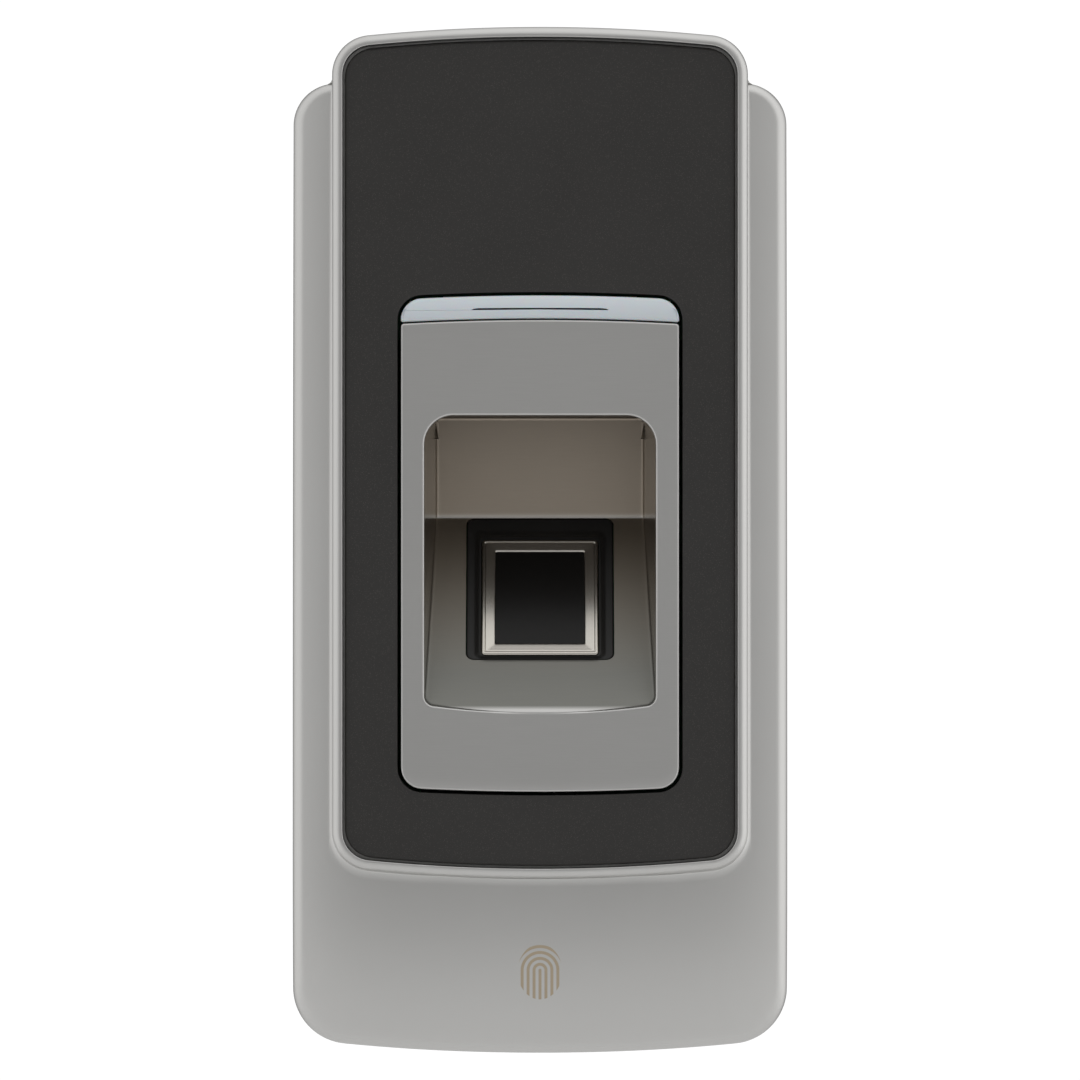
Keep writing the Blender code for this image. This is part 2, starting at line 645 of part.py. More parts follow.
def pocket_outline(grow, narrow, corner):
    return outline(POCKET_WIDTH / 2 + grow - narrow, POCKET_TOP + grow, POCKET_BOTTOM - grow,
                   corner + grow, POCKET_FOOT_RADIUS + grow, 0.0, POCKET_SAG)


def pocket_wedge(name, grow, tools):
    """The space in front of the pocket's sloped floor and upright back wall, grown by a wall."""
    slope = Vector((-math.sin(POCKET_SLOPE), math.cos(POCKET_SLOPE)))
    foot = Vector((GUIDE_FACE, POCKET_BOTTOM)) + grow * Vector((-slope[1], slope[0]))
    back = GUIDE_FACE - POCKET_DEPTH - grow
    crease = foot + slope * (foot[0] - back) / math.sin(POCKET_SLOPE)
    low = foot - slope * POCKET_DEPTH
    front = GUIDE_FACE + POCKET_DEPTH
    top = POCKET_TOP + POCKET_DEPTH
    profile = [tuple(low), tuple(crease), (back, top), (front, top), (front, low[1])]
    half = POCKET_WIDTH
    return loft(name, [[(x, -depth, z) for depth, z in profile] for x in (-half, half)], tools)


def pocket_solid(name, grow, stations, tools):
    """The pocket, or its shell: an outline (front depth, corner radius) per station, then the rear."""
    rings = [[(x, -depth, z) for x, z in pocket_outline(grow, 0, corner)] for depth, corner in stations]
    rear = GUIDE_FACE - POCKET_DEPTH - 2 * POCKET_WALL
    rings.append([(x, -rear, z) for x, z in pocket_outline(grow, POCKET_DRAFT, POCKET_CORNER)])
    solid = loft(name, rings, tools)
    boolean(solid, pocket_wedge(name + "_wedge", grow, tools), "INTERSECT")
    return solid


def slope_place():
    """Turn and foot of the slope's own frame: local y runs up the slope, local z out of it."""
    foot = Vector((0, -GUIDE_FACE, POCKET_BOTTOM))
    along = Vector((0, math.sin(POCKET_SLOPE), math.cos(POCKET_SLOPE)))
    return foot + along * SENSOR_CENTRE, math.pi / 2 - POCKET_SLOPE


def slope_block(name, sections, group, centre=0.0, sides=3):
    """Stacked rounded rectangles on the slope: (height, width, length, radius) each."""
    rings = []
    for height, width, length, radius in sections:
        ring = []
        for turn, (sx, sy) in enumerate(((1, 1), (-1, 1), (-1, -1), (1, -1))):
            start = turn * math.pi / 2
            ring += arc_points(sx * (width / 2 - radius), centre + sy * (length / 2 - radius),
                               radius, start, start + math.pi / 2, sides)
        rings.append([(x, y, height) for x, y in ring])
    item = loft(name, rings, group)
    location, turn = slope_place()
    return place(item, location, turn)


def make_guide(parts, tools):
    half = GUIDE_WIDTH / 2
    guide = flat_solid("finger_guide",
                       [outline(half, GUIDE_TOP, GUIDE_BOTTOM, CREST_RADIUS, GUIDE_RADIUS, CREST_SAG,
                                GUIDE_SAG)],
                       GUIDE_REAR, GUIDE_FACE, parts)
    soften(guide, GUIDE_EDGE)
    join(guide, pocket_solid("pocket_shell", POCKET_WALL, [(GUIDE_REAR + SEAM, POCKET_CORNER)], tools))
    for number, (x, z) in enumerate(ear_places(), 1):
        side = math.copysign(1, x)
        rib = sorted((side * (half - SEAM), side * (half - SEAM - RIB_WIDTH)))
        ear = sorted((side * (half - SEAM - RIB_WIDTH), x + side * EAR_WIDTH / 2))
        low, high = z - EAR_HEIGHT / 2, z + EAR_HEIGHT / 2
        join(guide, box_between("rib_%d" % number, (rib[0], EAR_REAR, low),
                                (rib[1], GUIDE_REAR + SEAM, high), tools))
        join(guide, box_between("ear_%d" % number, (ear[0], EAR_REAR, low), (ear[1], EAR_FACE, high),
                                tools))
        cut(guide, rod_at("ear_hole_%d" % number, x, z, [SCREW_RADIUS + HOLE_CLEARANCE],
                          [EAR_REAR - GAP, EAR_FACE + 2 * GAP], tools, SCREW_SIDES))
    behind_lip = GUIDE_FACE - POCKET_LIP
    cut(guide, pocket_solid("pocket_void", 0.0,
                            [(GUIDE_FACE + POCKET_LIP, POCKET_TOP_RADIUS), (behind_lip, POCKET_TOP_RADIUS),
                             (behind_lip - GAP, POCKET_CORNER)], tools))
    sleeve = 2 * GAP
    cut(guide, slope_block("sensor_opening",
                           [(height, BOOT_WIDTH + sleeve, BOOT_LENGTH + sleeve, BOOT_RADIUS)
                            for height in (-2 * BOOT_THICKNESS, BOOT_THICKNESS)], tools, BOOT_OFFSET))
    return guide


def make_sensor(parts, tools):
    lip = (BOOT_WIDTH - 2 * CREST_RADIUS, BOOT_LENGTH - 2 * CREST_RADIUS, BOOT_RADIUS)
    boot = slope_block("sensor_boot",
                       [(-BOOT_THICKNESS, BOOT_WIDTH, BOOT_LENGTH, BOOT_RADIUS),
                        (0.0, BOOT_WIDTH, BOOT_LENGTH, BOOT_RADIUS),
                        (BOOT_RISE / 4, *lip)], parts, BOOT_OFFSET)
    foot = (RING_WIDTH + COLLAR_FOOT[0], RING_LENGTH + COLLAR_FOOT[1], BOOT_RADIUS)
    crown = (RING_WIDTH + COLLAR_CROWN[0], RING_LENGTH + COLLAR_CROWN[1], BOOT_RADIUS)
    join(boot, slope_block("boot_collar",
                           [(-BOOT_THICKNESS / 2, *foot), (0.0, *foot), (BOOT_RISE, *crown)], tools))
    through = 2 * BOOT_THICKNESS
    hole = (RING_WIDTH + 2 * GAP, RING_LENGTH + 2 * GAP, RING_RADIUS)
    cut(boot, slope_block("ring_opening", [(-through, *hole), (through, *hole)], tools))
    ring = slope_block("sensor_drive_ring",
                       [(-BOOT_THICKNESS, RING_WIDTH, RING_LENGTH, RING_RADIUS),
                        (RING_RISE - RING_BEVEL, RING_WIDTH, RING_LENGTH, RING_RADIUS),
                        (RING_RISE, RING_WIDTH - 2 * RING_BEVEL, RING_LENGTH - 2 * RING_BEVEL,
                         RING_RADIUS - RING_BEVEL / 2)], parts)
    window = (DIE_WIDTH + 2 * GAP, DIE_LENGTH + 2 * GAP, DIE_HOLE_RADIUS)
    mouth = (RING_WIDTH - 4 * RING_BEVEL, RING_LENGTH - 4 * RING_BEVEL, RING_RADIUS)
    cut(ring, slope_block("die_opening",
                          [(-through, *window), (DIE_SINK, *window), (RING_RISE + GAP, *mouth)], tools))
    plate = (DIE_WIDTH, DIE_LENGTH, DIE_RADIUS)
    die = slope_block("sensor_die", [(-BOOT_THICKNESS, *plate), (-DIE_SINK, *plate)], parts)
    board = (BOOT_WIDTH + 2 * CARRIER_MARGIN, BOOT_LENGTH + 2 * CARRIER_MARGIN, CARRIER_RADIUS)
    carrier = slope_block("sensor_carrier_board",
                          [(CARRIER_FACE - CARRIER_THICKNESS, *board), (CARRIER_FACE, *board)],
                          parts, BOOT_OFFSET)
    return boot, ring, die, carrier


def slope_point(up, out):
    """Depth and height of a point up the slope from the sensor centre and out from it."""
    distance = SENSOR_CENTRE + up
    depth = GUIDE_FACE - distance * math.sin(POCKET_SLOPE) + out * math.cos(POCKET_SLOPE)
    return depth, POCKET_BOTTOM + distance * math.cos(POCKET_SLOPE) + out * math.sin(POCKET_SLOPE)


def ribbon(name, path, width, group):
    """A flat cable: a smooth path of (depth, z) points given a width along X and a thickness."""
    curve_points = []
    for first, second, third, fourth in zip(path, path[1:], path[2:], path[3:]):
        for step in range(CABLE_STEPS):
            t = step / CABLE_STEPS
            curve_points.append(tuple(0.5 * (2 * b + (c - a) * t + (2 * a - 5 * b + 4 * c - d) * t * t
                                             + (3 * b - a - 3 * c + d) * t ** 3)
                                      for a, b, c, d in zip(first, second, third, fourth)))
    curve_points.append(tuple(path[-2]))
    sides = ([], [])
    for index, point in enumerate(curve_points):
        before = curve_points[max(index - 1, 0)]
        after = curve_points[min(index + 1, len(curve_points) - 1)]
        along = Vector((after[0] - before[0], after[1] - before[1])).normalized()
        offset = Vector((-along[1], along[0])) * FLEX_THICKNESS / 2
        sides[0].append((point[0] + offset[0], point[1] + offset[1]))
        sides[1].append((point[0] - offset[0], point[1] - offset[1]))
    profile = sides[0] + list(reversed(sides[1]))
    return loft(name, [[(x, -depth, z) for depth, z in profile] for x in (-width / 2, width / 2)],
                group)


def make_front_board(parts, tools):
    half = FRONT_BOARD_WIDTH / 2
    rear = FRONT_BOARD_DEPTH - FRONT_BOARD_THICKNESS
    board = flat_solid("front_board",
                       [outline(half, FRONT_BOARD_TOP, FRONT_BOARD_BOTTOM, BOARD_RADIUS, BOARD_RADIUS)],
                       rear, FRONT_BOARD_DEPTH, parts)
    screws = []
    for number, (x, z) in enumerate(corner_places(FRONT_SCREW_X, (FRONT_SCREW_Z,)), 1):
        cut(board, rod_at("front_board_hole_%d" % number, x, z, [SCREW_RADIUS + HOLE_CLEARANCE],
                          [rear - MM, FRONT_BOARD_DEPTH + MM], tools, SCREW_SIDES))
        screws.append(screw_forward("front_board_screw_%d" % number, x, z, rear, FRONT_SCREW_LENGTH,
                                    parts))
    lamps = []
    z = LENS_BOTTOM + LENS_HEIGHT / 2
    for number in range(LED_COUNT):
        x = (number - (LED_COUNT - 1) / 2) * LED_PITCH
        lamps.append(box_between("status_led_%d" % (number + 1),
                                 (x - LED_SIZE[0] / 2, FRONT_BOARD_DEPTH + GAP, z - LED_SIZE[1] / 2),
                                 (x + LED_SIZE[0] / 2, DIFFUSER_REAR - GAP, z + LED_SIZE[1] / 2), parts))
    return board, screws, lamps


def screw_forward(name, x, z, seat, length, group, head=SCREW_HEAD):
    """A screw driven towards the front: its head stands behind the seat."""
    return smooth(rod_at(name, x, z, [head, SCREW_RADIUS],
                         [seat - GAP - SCREW_HEAD_HEIGHT, seat - GAP, seat + length], group,
                         SCREW_SIDES))


def make_cover(parts, tools):
    inset = WALL + GAP
    cover = flat_solid("rear_cover", [shell_outline(inset)], COVER_REAR, COVER_FACE, parts)
    join(cover, flat_solid("cover_head", [body_outline(inset)], COVER_REAR, COVER_FACE, tools))
    cut(cover, box_between("cover_trim", (-BODY_WIDTH, 0, BOTTOM - WALL),
                           (BODY_WIDTH, COVER_FACE + WALL, COVER_BOTTOM), tools))
    for number, (x, z) in enumerate(corner_places(BOARD_SCREW_X, BOARD_SCREW_Z), 1):
        join(cover, rod_at("standoff_%d" % number, x, z, [STANDOFF_RADIUS],
                           [COVER_FACE - GAP, BOARD_REAR - GAP], tools))
        cut(cover, rod_at("standoff_hole_%d" % number, x, z, [SCREW_RADIUS + HOLE_CLEARANCE],
                          [COVER_FACE - STANDOFF_FLOOR, BOARD_REAR + GAP], tools, SCREW_SIDES))
    for number, (x, z) in enumerate(corner_places(COVER_SCREW_X, COVER_SCREW_Z), 1):
        cut(cover, rod_at("cover_hole_%d" % number, x, z,
                          [SCREW_HEAD + HOLE_CLEARANCE, SCREW_RADIUS + HOLE_CLEARANCE],
                          [0, COVER_REAR + SCREW_HEAD_HEIGHT + GAP, COVER_FACE + MM], tools,
                          SCREW_SIDES))
    for side in (-1, 1):
        x = side * HOOK_X
        half = HOOK_WIDTH / 2 + GAP
        top = HOOK_Z + GAP
        cut(cover, box_between("hook_slot_%s" % ("left" if side < 0 else "right"),
                               (x - half, 0, top - HOOK_LIP - HOOK_PLAY),
                               (x + half, COVER_FACE + MM, top), tools))
    cut(cover, box_between("header_window", (HEADER[0][0] - MM, 0, HEADER[0][1] - MM),
                           (HEADER[1][0] + MM, COVER_FACE + MM, HEADER[1][1] + MM), tools))
    cut(cover, rod_at("plunger_hole", TAMPER_X, TAMPER_Z, [PLUNGER_RADIUS + HOLE_CLEARANCE],
                      [0, COVER_FACE + MM], tools))
    screws = [smooth(rod_at("rear_cover_screw_%d" % number, x, z, [SCREW_HEAD, SCREW_RADIUS],
                            [COVER_REAR + GAP / 3, COVER_REAR + SCREW_HEAD_HEIGHT,
                             COVER_FACE + COVER_SCREW_LENGTH], parts, SCREW_SIDES))
              for number, (x, z) in enumerate(corner_places(COVER_SCREW_X, COVER_SCREW_Z), 1)]
    return cover, screws


def make_main_board(parts, tools):
    board = flat_solid("main_board",
                       [outline(BOARD_WIDTH / 2, BOARD_TOP, BOARD_BOTTOM, BOARD_RADIUS, BOARD_RADIUS)],
                       BOARD_REAR, BOARD_FACE, parts)
    screws = []
    for number, (x, z) in enumerate(corner_places(BOARD_SCREW_X, BOARD_SCREW_Z), 1):
        cut(board, rod_at("board_hole_%d" % number, x, z, [SCREW_RADIUS + HOLE_CLEARANCE],
                          [BOARD_REAR - MM, BOARD_FACE + MM], tools, SCREW_SIDES))
        screws.append(smooth(rod_at("main_board_screw_%d" % number, x, z, [SCREW_RADIUS, SCREW_HEAD],
                                    [COVER_FACE - STANDOFF_FLOOR + 2 * GAP, BOARD_FACE + GAP,
                                     BOARD_FACE + GAP + SCREW_HEAD_HEIGHT], parts, SCREW_SIDES)))
    made = []
    face = BOARD_FACE + GAP
    for name, x, height, size in (
            ("processor_chip", PROCESSOR[0], BOARD_TOP - PROCESSOR_DROP, PROCESSOR[1]),
            ("memory_chip", MEMORY[0], BOARD_TOP - MEMORY_DROP, MEMORY[1]),
            ("relay", RELAY[0], BOARD_BOTTOM + RELAY_RISE, RELAY[1]),
            ("flex_connector", 0.0, FLEX_Z, SENSOR_SOCKET),
            ("front_board_connector", 0.0, BOARD_TOP - FRONT_FLEX_DROP, FRONT_SOCKET)):
        chip = make_object(name, box_mesh(name, size), parts)
        made.append(place(chip, (x, -face - size[1] / 2, height)))
    for name, height, (x, radius, length) in (
            ("buzzer", BOARD_BOTTOM + BUZZER_RISE, BUZZER),
            ("capacitor_1", BOARD_BOTTOM + CAPACITOR_RISES[0], CAPACITOR),
            ("capacitor_2", BOARD_BOTTOM + CAPACITOR_RISES[1], CAPACITOR)):
        made.append(smooth(rod_at(name, x, height, [radius], [face, face + length], parts)))
    rear = BOARD_REAR - GAP
    header = box_between("harness_header", (HEADER[0][0], COVER_REAR + HEADER_SETBACK, HEADER[0][1]),
                         (HEADER[1][0], rear, HEADER[1][1]), parts)
    cut(header, box_between("header_socket", (HEADER[0][0] + HEADER_WALL, 0, HEADER[0][1] + HEADER_WALL),
                            (HEADER[1][0] - HEADER_WALL, rear - HEADER_FLOOR, HEADER[1][1] - HEADER_WALL),
                            tools))
    made.append(header)
    switch = box_between("tamper_switch_body",
                         (TAMPER_X - SWITCH_SIZE / 2, COVER_FACE + GAP, TAMPER_Z - SWITCH_SIZE / 2),
                         (TAMPER_X + SWITCH_SIZE / 2, rear, TAMPER_Z + SWITCH_SIZE / 2), parts)
    bore_end = COVER_FACE + GAP + PLUNGER_TRAVEL + 4 * GAP
    cut(switch, rod_at("switch_bore", TAMPER_X, TAMPER_Z, [PLUNGER_RADIUS + HOLE_CLEARANCE],
                       [0, bore_end], tools))
    made.append(switch)
    return board, screws, made


def make_plunger(parts):
    inner_end = COVER_FACE + 2 * GAP
    return smooth(rod_at("tamper_plunger", TAMPER_X, TAMPER_Z, [PLUNGER_RADIUS - GAP, PLUNGER_RADIUS],
                         [*PLUNGER_TIP, inner_end], parts))


def make_security_screw(parts):
    head_top = BOTTOM + SECURITY_HEAD_HEIGHT
    tip = BRACKET_BOTTOM + BRACKET_THICKNESS + SCREW_TIP
    screw = upright_rod("security_screw", 0, SECURITY_DEPTH, [SECURITY_HEAD, SECURITY_RADIUS],
                        [BOTTOM + SECURITY_SINK, head_top, tip], parts)
    return smooth(screw)


def make_bracket(parts, tools):
    half = BRACKET_WIDTH / 2
    plate = flat_solid("wall_bracket",
                       [outline(half, BRACKET_TOP, BRACKET_BOTTOM + CHIN_SAG, BRACKET_HEAD_RADIUS,
                                BRACKET_FOOT_RADIUS)],
                       0, BRACKET_THICKNESS, parts)
    window = box_between("cable_window", (-WINDOW_WIDTH / 2, -MM, WINDOW_BOTTOM),
                         (WINDOW_WIDTH / 2, 2 * BRACKET_THICKNESS, WINDOW_TOP), tools)
    cut(plate, window)
    slot_half = WALL_SLOT_LENGTH / 2
    for number, z in enumerate((WALL_SCREW_PITCH / 2, -WALL_SCREW_PITCH / 2), 1):
        shape = outline(slot_half, z + WALL_SCREW_RADIUS, z - WALL_SCREW_RADIUS,
                        SLOT_ROUND * WALL_SCREW_RADIUS, SLOT_ROUND * WALL_SCREW_RADIUS)
        cut(plate, flat_solid("wall_slot_%d" % number, [shape], -MM, 2 * BRACKET_THICKNESS, tools))
    for number, (x, z) in enumerate(corner_places(WALL_HOLE_X, (WALL_HOLE_Z, -WALL_HOLE_Z)), 1):
        cut(plate, rod_at("wall_hole_%d" % number, x, z, [WALL_SCREW_RADIUS],
                          [-MM, 2 * BRACKET_THICKNESS], tools))
    lip_rear = COVER_FACE + GAP
    neck = HOOK_Z - BRACKET_THICKNESS
    for side in (-1, 1):
        x = side * HOOK_X
        label = "left" if side < 0 else "right"
        join(plate, box_between("hook_neck_" + label, (x - HOOK_WIDTH / 2, SEAM, neck),
                                (x + HOOK_WIDTH / 2, lip_rear + BRACKET_THICKNESS, HOOK_Z), tools))
        join(plate, box_between("hook_lip_" + label, (x - HOOK_WIDTH / 2, lip_rear, neck),
                                (x + HOOK_WIDTH / 2, lip_rear + BRACKET_THICKNESS, neck + HOOK_LIP),
                                tools))
    join(plate, box_between("tab", (-TAB_WIDTH / 2, SEAM, BRACKET_BOTTOM),
                            (TAB_WIDTH / 2, TAB_REACH, BRACKET_BOTTOM + BRACKET_THICKNESS), tools))
    cut(plate, upright_rod("tab_hole", 0, SECURITY_DEPTH, [SECURITY_RADIUS + HOLE_CLEARANCE],
                           [BRACKET_BOTTOM - MM, BRACKET_BOTTOM + 3 * BRACKET_THICKNESS], tools))
    return plate


def make_cables(parts):
    """Flat cables from the sensor board and from the front board to the main board."""
    behind = CARRIER_FACE - CARRIER_THICKNESS
    start = slope_point(SENSOR_CABLE_START, behind - 2 * GAP)
    lead = slope_point(SENSOR_CABLE_START, behind - CABLE_LEAD)
    end = BOARD_FACE + GAP + FLEX_CONNECTOR + 2 * GAP
    path = [(start[0] + CABLE_BEND, start[1] + CABLE_BEND), start, lead,
            (end + CABLE_BEND, FLEX_Z - CABLE_BEND / 2), (end, FLEX_Z),
            (end - CABLE_BEND, FLEX_Z + CABLE_BEND)]
    sensor_cable = ribbon("sensor_flex_cable", path, SENSOR_CABLE_WIDTH, parts)
    rear = FRONT_BOARD_DEPTH - FRONT_BOARD_THICKNESS - 2 * GAP
    foot = BOARD_TOP - FRONT_FLEX_DROP
    path = [(rear + CABLE_BEND, foot + CABLE_LEAD), (rear, foot + CABLE_LEAD / 2),
            (rear - CABLE_LEAD, foot - CABLE_LEAD / 4),
            (end + CABLE_LEAD, foot + CABLE_BEND / 2), (end, foot),
            (end - CABLE_BEND, foot - CABLE_BEND)]
    front_cable = ribbon("front_board_flex_cable", path, FRONT_CABLE_WIDTH, parts)
    return sensor_cable, front_cable


def hang(parts, tools):
    """Parent everything made so far to an empty, so that the terminal lifts off as one."""
    terminal = bpy.data.objects.new("terminal", None)
    for item in [*parts.objects, *tools.objects]:
        item.parent = terminal
    parts.objects.link(terminal)


def main():
    clear_scene()
    parts = make_collection("fingerprint_scanner_terminal")
    tools = make_collection("cutters")
    satin = make_material("satin_metal", (0.55, 0.55, 0.54), 0.32, 1.0)
    black = make_material("black_plastic", (0.045, 0.042, 0.040), 0.55)
    lens = make_material("lens_plastic", (0.62, 0.68, 0.72), 0.25)
    rubber = make_material("black_rubber", (0.03, 0.03, 0.03), 0.8)
    die = make_material("sensor_glass", (0.01, 0.01, 0.01), 0.2)
    board = make_material("circuit_board", (0.03, 0.16, 0.07), 0.5)
    chip = make_material("chip_black", (0.02, 0.02, 0.02), 0.5)
    steel = make_material("plated_steel", (0.6, 0.6, 0.58), 0.4, 1.0)
    amber = make_material("flex_film", (0.45, 0.20, 0.04), 0.4)
    white = make_material("white_plastic", (0.8, 0.8, 0.78), 0.4)

    def paint(items, material):
        for item in items:
            item.data.materials.clear()
            item.data.materials.append(material)

    paint([make_housing(parts, tools), make_guide(parts, tools)], satin)
    paint([make_panel(parts, tools)], black)
    paint([make_gasket(parts)], rubber)
    paint(make_lens(parts, tools), lens)
    boot, ring, sensor, carrier = make_sensor(parts, tools)
    paint([boot], rubber)
    paint([ring], satin)
    paint([sensor], die)
    front_board, front_screws, lamps = make_front_board(parts, tools)
    main_board, board_screws, components = make_main_board(parts, tools)
    paint([carrier, front_board, main_board], board)
    paint(lamps, white)
    paint(components, chip)
    cover, cover_screws = make_cover(parts, tools)
    paint([cover], black)
    reach = PANEL_FACE - PANEL_SKIN - GAP - EAR_REAR
    guide_screws = [screw_forward("finger_guide_screw_%d" % number, x, z, EAR_REAR, reach, parts,
                                  EAR_SCREW_HEAD)
                    for number, (x, z) in enumerate(ear_places(), 1)]
    paint(cover_screws + guide_screws + front_screws + board_screws + [make_security_screw(parts)], steel)
    paint([make_plunger(parts)], white)
    paint(make_cables(parts), amber)
    hang(parts, tools)
    paint([make_bracket(parts, tools)], steel)


main()
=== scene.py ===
"""Looks for a wall-mounted fingerprint scanner terminal: the pieces, their finishes and the stage."""
import json
import math

import bmesh
import bpy
import numpy as np
from bpy.props import FloatProperty, FloatVectorProperty, PointerProperty
from mathutils import Matrix, Vector


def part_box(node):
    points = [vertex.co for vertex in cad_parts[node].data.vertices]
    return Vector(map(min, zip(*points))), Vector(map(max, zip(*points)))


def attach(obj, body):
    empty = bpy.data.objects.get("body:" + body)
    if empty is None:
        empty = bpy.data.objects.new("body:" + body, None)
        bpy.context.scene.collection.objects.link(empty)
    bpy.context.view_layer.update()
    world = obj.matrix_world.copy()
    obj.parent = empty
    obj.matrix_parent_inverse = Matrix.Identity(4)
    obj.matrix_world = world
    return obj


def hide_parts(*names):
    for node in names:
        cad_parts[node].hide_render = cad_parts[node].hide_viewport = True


bl_info = {
    "name": "Fingerprint scanner terminal",
    "version": (1, 0, 0),
    "blender": (4, 5, 0),
    "location": "View3D > Sidebar > Scanner",
    "description": "Builds the terminal's visible pieces, their finishes and a plain stage",
    "category": "Object",
}

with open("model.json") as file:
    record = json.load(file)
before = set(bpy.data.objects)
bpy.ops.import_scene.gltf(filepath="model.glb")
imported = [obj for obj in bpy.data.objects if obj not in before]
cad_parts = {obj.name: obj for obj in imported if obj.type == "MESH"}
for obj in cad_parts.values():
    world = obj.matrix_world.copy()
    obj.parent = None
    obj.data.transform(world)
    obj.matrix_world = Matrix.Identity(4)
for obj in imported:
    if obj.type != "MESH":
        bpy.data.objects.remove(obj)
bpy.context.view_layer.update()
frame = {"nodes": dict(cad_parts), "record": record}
MM = 0.001

# Places read from the fixed frame
HOUSING_LOW, HOUSING_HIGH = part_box("front_housing")
PANEL_LOW, PANEL_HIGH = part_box("front_panel")
GASKET_LOW, GASKET_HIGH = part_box("panel_gasket")
LENS_LOW, LENS_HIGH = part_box("indicator_lens")
GUIDE_LOW, GUIDE_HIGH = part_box("finger_guide")
DIE_LOW, DIE_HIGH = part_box("sensor_die")
SCREW_LOW, SCREW_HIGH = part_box("security_screw")

HALF_WIDTH = HOUSING_HIGH.x
TOP, BOTTOM = HOUSING_HIGH.z, HOUSING_LOW.z
RIM_DEPTH = -HOUSING_LOW.y          # depths are distances from the wall
REAR_DEPTH = -HOUSING_HIGH.y
PANEL_DEPTH = -PANEL_LOW.y
GUIDE_DEPTH = -GUIDE_LOW.y
GUIDE_HALF = LENS_HIGH.x

# Shell: the curved front of the wings and the chin
WING_TOP = TOP - 6.5 * MM
WING_RADIUS = 5.0 * MM
CHIN_RADIUS = 6.8 * MM
CHIN_SAG = 1.0 * MM
CROWN_STEP = 1.0 * MM
CROWN_LIFT = 24.0 * MM
SIDE_FALL = 3.6 * MM
WING_FALL = 4.5 * MM
CHIN_FALL = 4.0 * MM
SHELL_WALL = 2.0 * MM

# Raised body, rim and recess
RIM_HALF = HALF_WIDTH - 4.9 * MM
RIM_BOTTOM = BOTTOM + 21.3 * MM
RIM_RADIUS = 4.8 * MM
RIM_SAG = 0.97 * MM
RIM_WIDTH = 1.25 * MM
RIM_DRAFT = 0.6 * MM
LEDGE_DEPTH = -GASKET_HIGH.y - 0.3 * MM
LEDGE_THICKNESS = 1.4 * MM
LEDGE_WIDTH = 1.95 * MM

# Pocket: a sloped floor, an upright back wall and drafted sides behind a thin lip
POCKET_HALF = 13.95 * MM
POCKET_TOP = 15.14 * MM
POCKET_BOTTOM = -20.7 * MM
POCKET_DEPTH = 17.3 * MM
POCKET_SLOPE = math.radians(36.3)
POCKET_TOP_RADIUS = 3.5 * MM
POCKET_LIP = 0.8 * MM
POCKET_CORNER = 0.6 * MM
POCKET_FOOT_RADIUS = 1.2 * MM
POCKET_SAG = 0.8 * MM
POCKET_DRAFT = 1.24 * MM
CREASE_Z = POCKET_BOTTOM + POCKET_DEPTH / math.tan(POCKET_SLOPE)
GUIDE_RADIUS = 2.6 * MM
GUIDE_SAG = 0.35 * MM
CREST_SAG = 0.47 * MM               # bow of the line between the light bar and the guide


# ---------------------------------------------------------------- meshes

def grid_quads(rows, columns, close_rows, close_columns):
    """Corner numbers of the quads of a rows x columns grid of points, wrapped where closed."""
    row = np.arange(rows if close_rows else rows - 1)
    column = np.arange(columns if close_columns else columns - 1)
    row, column = np.meshgrid(row, column, indexing="ij")
    next_row, next_column = (row + 1) % rows, (column + 1) % columns
    corners = [row * columns + column, row * columns + next_column,
               next_row * columns + next_column, next_row * columns + column]
    return np.stack(corners, axis=-1).reshape(-1, 4)


def mesh_object(name, points, quads, sharp=35.0):
    """A smooth-shaded object from points and quads; merges doubles and turns its faces outward."""
    mesh = bpy.data.meshes.new(name)
    points = np.ascontiguousarray(points, dtype=np.float32).reshape(-1, 3)
    mesh.vertices.add(len(points))
    mesh.vertices.foreach_set("co", points.ravel())
    mesh.loops.add(quads.size)
    mesh.loops.foreach_set("vertex_index", quads.ravel().astype(np.int32))
    mesh.polygons.add(len(quads))
    mesh.polygons.foreach_set("loop_start", np.arange(0, quads.size, 4, dtype=np.int32))
    mesh.update(calc_edges=True)
    mesh.validate()
    item = bpy.data.objects.new(name, mesh)
    bpy.context.scene.collection.objects.link(item)
    tidy_mesh(item, sharp)
    return item


def tidy_mesh(item, sharp=35.0):
    builder = bmesh.new()
    builder.from_mesh(item.data)
    bmesh.ops.remove_doubles(builder, verts=builder.verts, dist=2e-6)
    bmesh.ops.dissolve_degenerate(builder, edges=builder.edges, dist=1e-6)
    bmesh.ops.recalc_face_normals(builder, faces=builder.faces)
    builder.to_mesh(item.data)
    builder.free()
    item.data.shade_smooth()
    item.data.set_sharp_from_angle(angle=math.radians(sharp))


def closed_tube(name, rows, sharp=35.0):
    """A ring-shaped skin: rows of (columns, 3) points, closed both ways."""
    points = np.stack(rows)
    return mesh_object(name, points, grid_quads(len(rows), points.shape[1], True, True), sharp)


def capped_loft(name, rows, sharp=35.0):
    """A solid through rows of points, closed round each row and shrunk to a point at both ends."""
    rows = list(rows)
    first, last = rows[0].mean(axis=0), rows[-1].mean(axis=0)
    rows = [np.repeat(first[None], len(rows[0]), axis=0)] + rows + [np.repeat(last[None], len(rows[0]), axis=0)]
    points = np.stack(rows)
    return mesh_object(name, points, grid_quads(len(rows), points.shape[1], False, True), sharp)


def apply_modifiers(item):
    """Replace an object's mesh by its evaluated one."""
    bpy.context.view_layer.update()
    graph = bpy.context.evaluated_depsgraph_get()
    mesh = bpy.data.meshes.new_from_object(item.evaluated_get(graph))
    item.modifiers.clear()
    item.data = mesh


